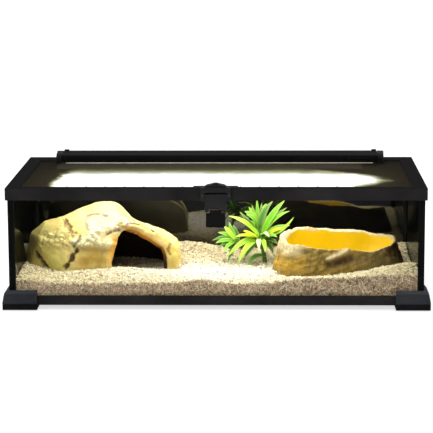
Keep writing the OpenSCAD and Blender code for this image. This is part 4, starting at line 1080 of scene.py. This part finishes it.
# ---- world, lamps, floor
sky = Tree("studio", world=True)
ray = sky.add("LightPath").outputs
way = sky.xyz(sky.add("TexCoord").outputs["Generated"])
toward = sky.levels(way[1], -0.9, 0.1, 0.4, 1.0)
height = sky.levels(way[2], 0.0, 0.7, 0.4, 1.25)
mirrored = sky.levels(way[1], -0.6, 0.3, 0.03, 0.7)
light = sky.add("Mix", {0: ray["Is Glossy Ray"], 2: sky.mul(toward, height), 3: sky.mul(mirrored, height)}).outputs[0]
room = sky.add("Background", {"Color": light, "Strength": 0.62}).outputs[0]
white = sky.add("Background", {"Color": WHITE, "Strength": 1.0}).outputs[0]
see = sky.math("MAXIMUM", ray["Is Camera Ray"], ray["Is Transmission Ray"])
scene.world = sky.surface(sky.add("MixShader", {0: see, 1: room, 2: white}))


def area(name, at, aim, size, power, colour=(1, 1, 1)):
    data = bpy.data.lights.new(name, "AREA")
    data.shape = "RECTANGLE"
    data.size, data.size_y = size
    data.energy = power
    data.color = colour
    obj = bpy.data.objects.new(name, data)
    obj.location = at
    obj.rotation_mode = "QUATERNION"
    obj.rotation_quaternion = (Vector(aim) - Vector(at)).to_track_quat("-Z", "Y")
    obj.visible_camera = False
    obj.visible_glossy = False
    scene.collection.objects.link(obj)


area("softbox_front", (-0.6, -2.4, 2.0), (0, 0, 0.1), (1.6, 1.0), 30)
area("softbox_top", (0.2, 0.3, 2.6), (0, 0, 0.1), (2.0, 1.4), 26)
area("strip_light", (-0.02, -0.012, 0.2295), (-0.02, -0.002, 0.05), (0.62, 0.33), 2.3, (1.0, 0.96, 0.88))


def floor_material():
    """White to the camera apart from the shadow on it, plain to other rays, and nearly dark where it is mirrored."""
    t = Tree("floor_white")
    rays = t.add("LightPath").outputs
    lit = t.add("BsdfDiffuse", {"Color": (0.92, 0.92, 0.92, 1)})
    shaded = t.add("BsdfDiffuse", {"Color": (0.62, 0.62, 0.62, 1)})
    plain = t.add("Emission", {"Color": WHITE, "Strength": 0.66})
    seen = t.add("AddShader", {0: shaded.outputs[0], 1: plain.outputs[0]})
    dim = t.add("Emission", {"Color": WHITE, "Strength": 0.06})
    unseen = t.add("MixShader", {0: rays["Is Glossy Ray"], 1: lit.outputs[0], 2: dim.outputs[0]})
    return t.surface(t.add("MixShader", {0: rays["Is Camera Ray"], 1: unseen.outputs[0], 2: seen.outputs[0]}))


FLOOR_HALF = 9.0
floor_mesh = bpy.data.meshes.new("floor")
floor_mesh.from_pydata([(x * FLOOR_HALF, y * FLOOR_HALF, 0) for x, y in ((-1, -1), (1, -1), (1, 1), (-1, 1))], [],
                       [(0, 1, 2, 3)])
floor_mesh.materials.append(floor_material())
floor = bpy.data.objects.new("floor", floor_mesh)
scene.collection.objects.link(floor)

scene.view_settings.view_transform = "Standard"
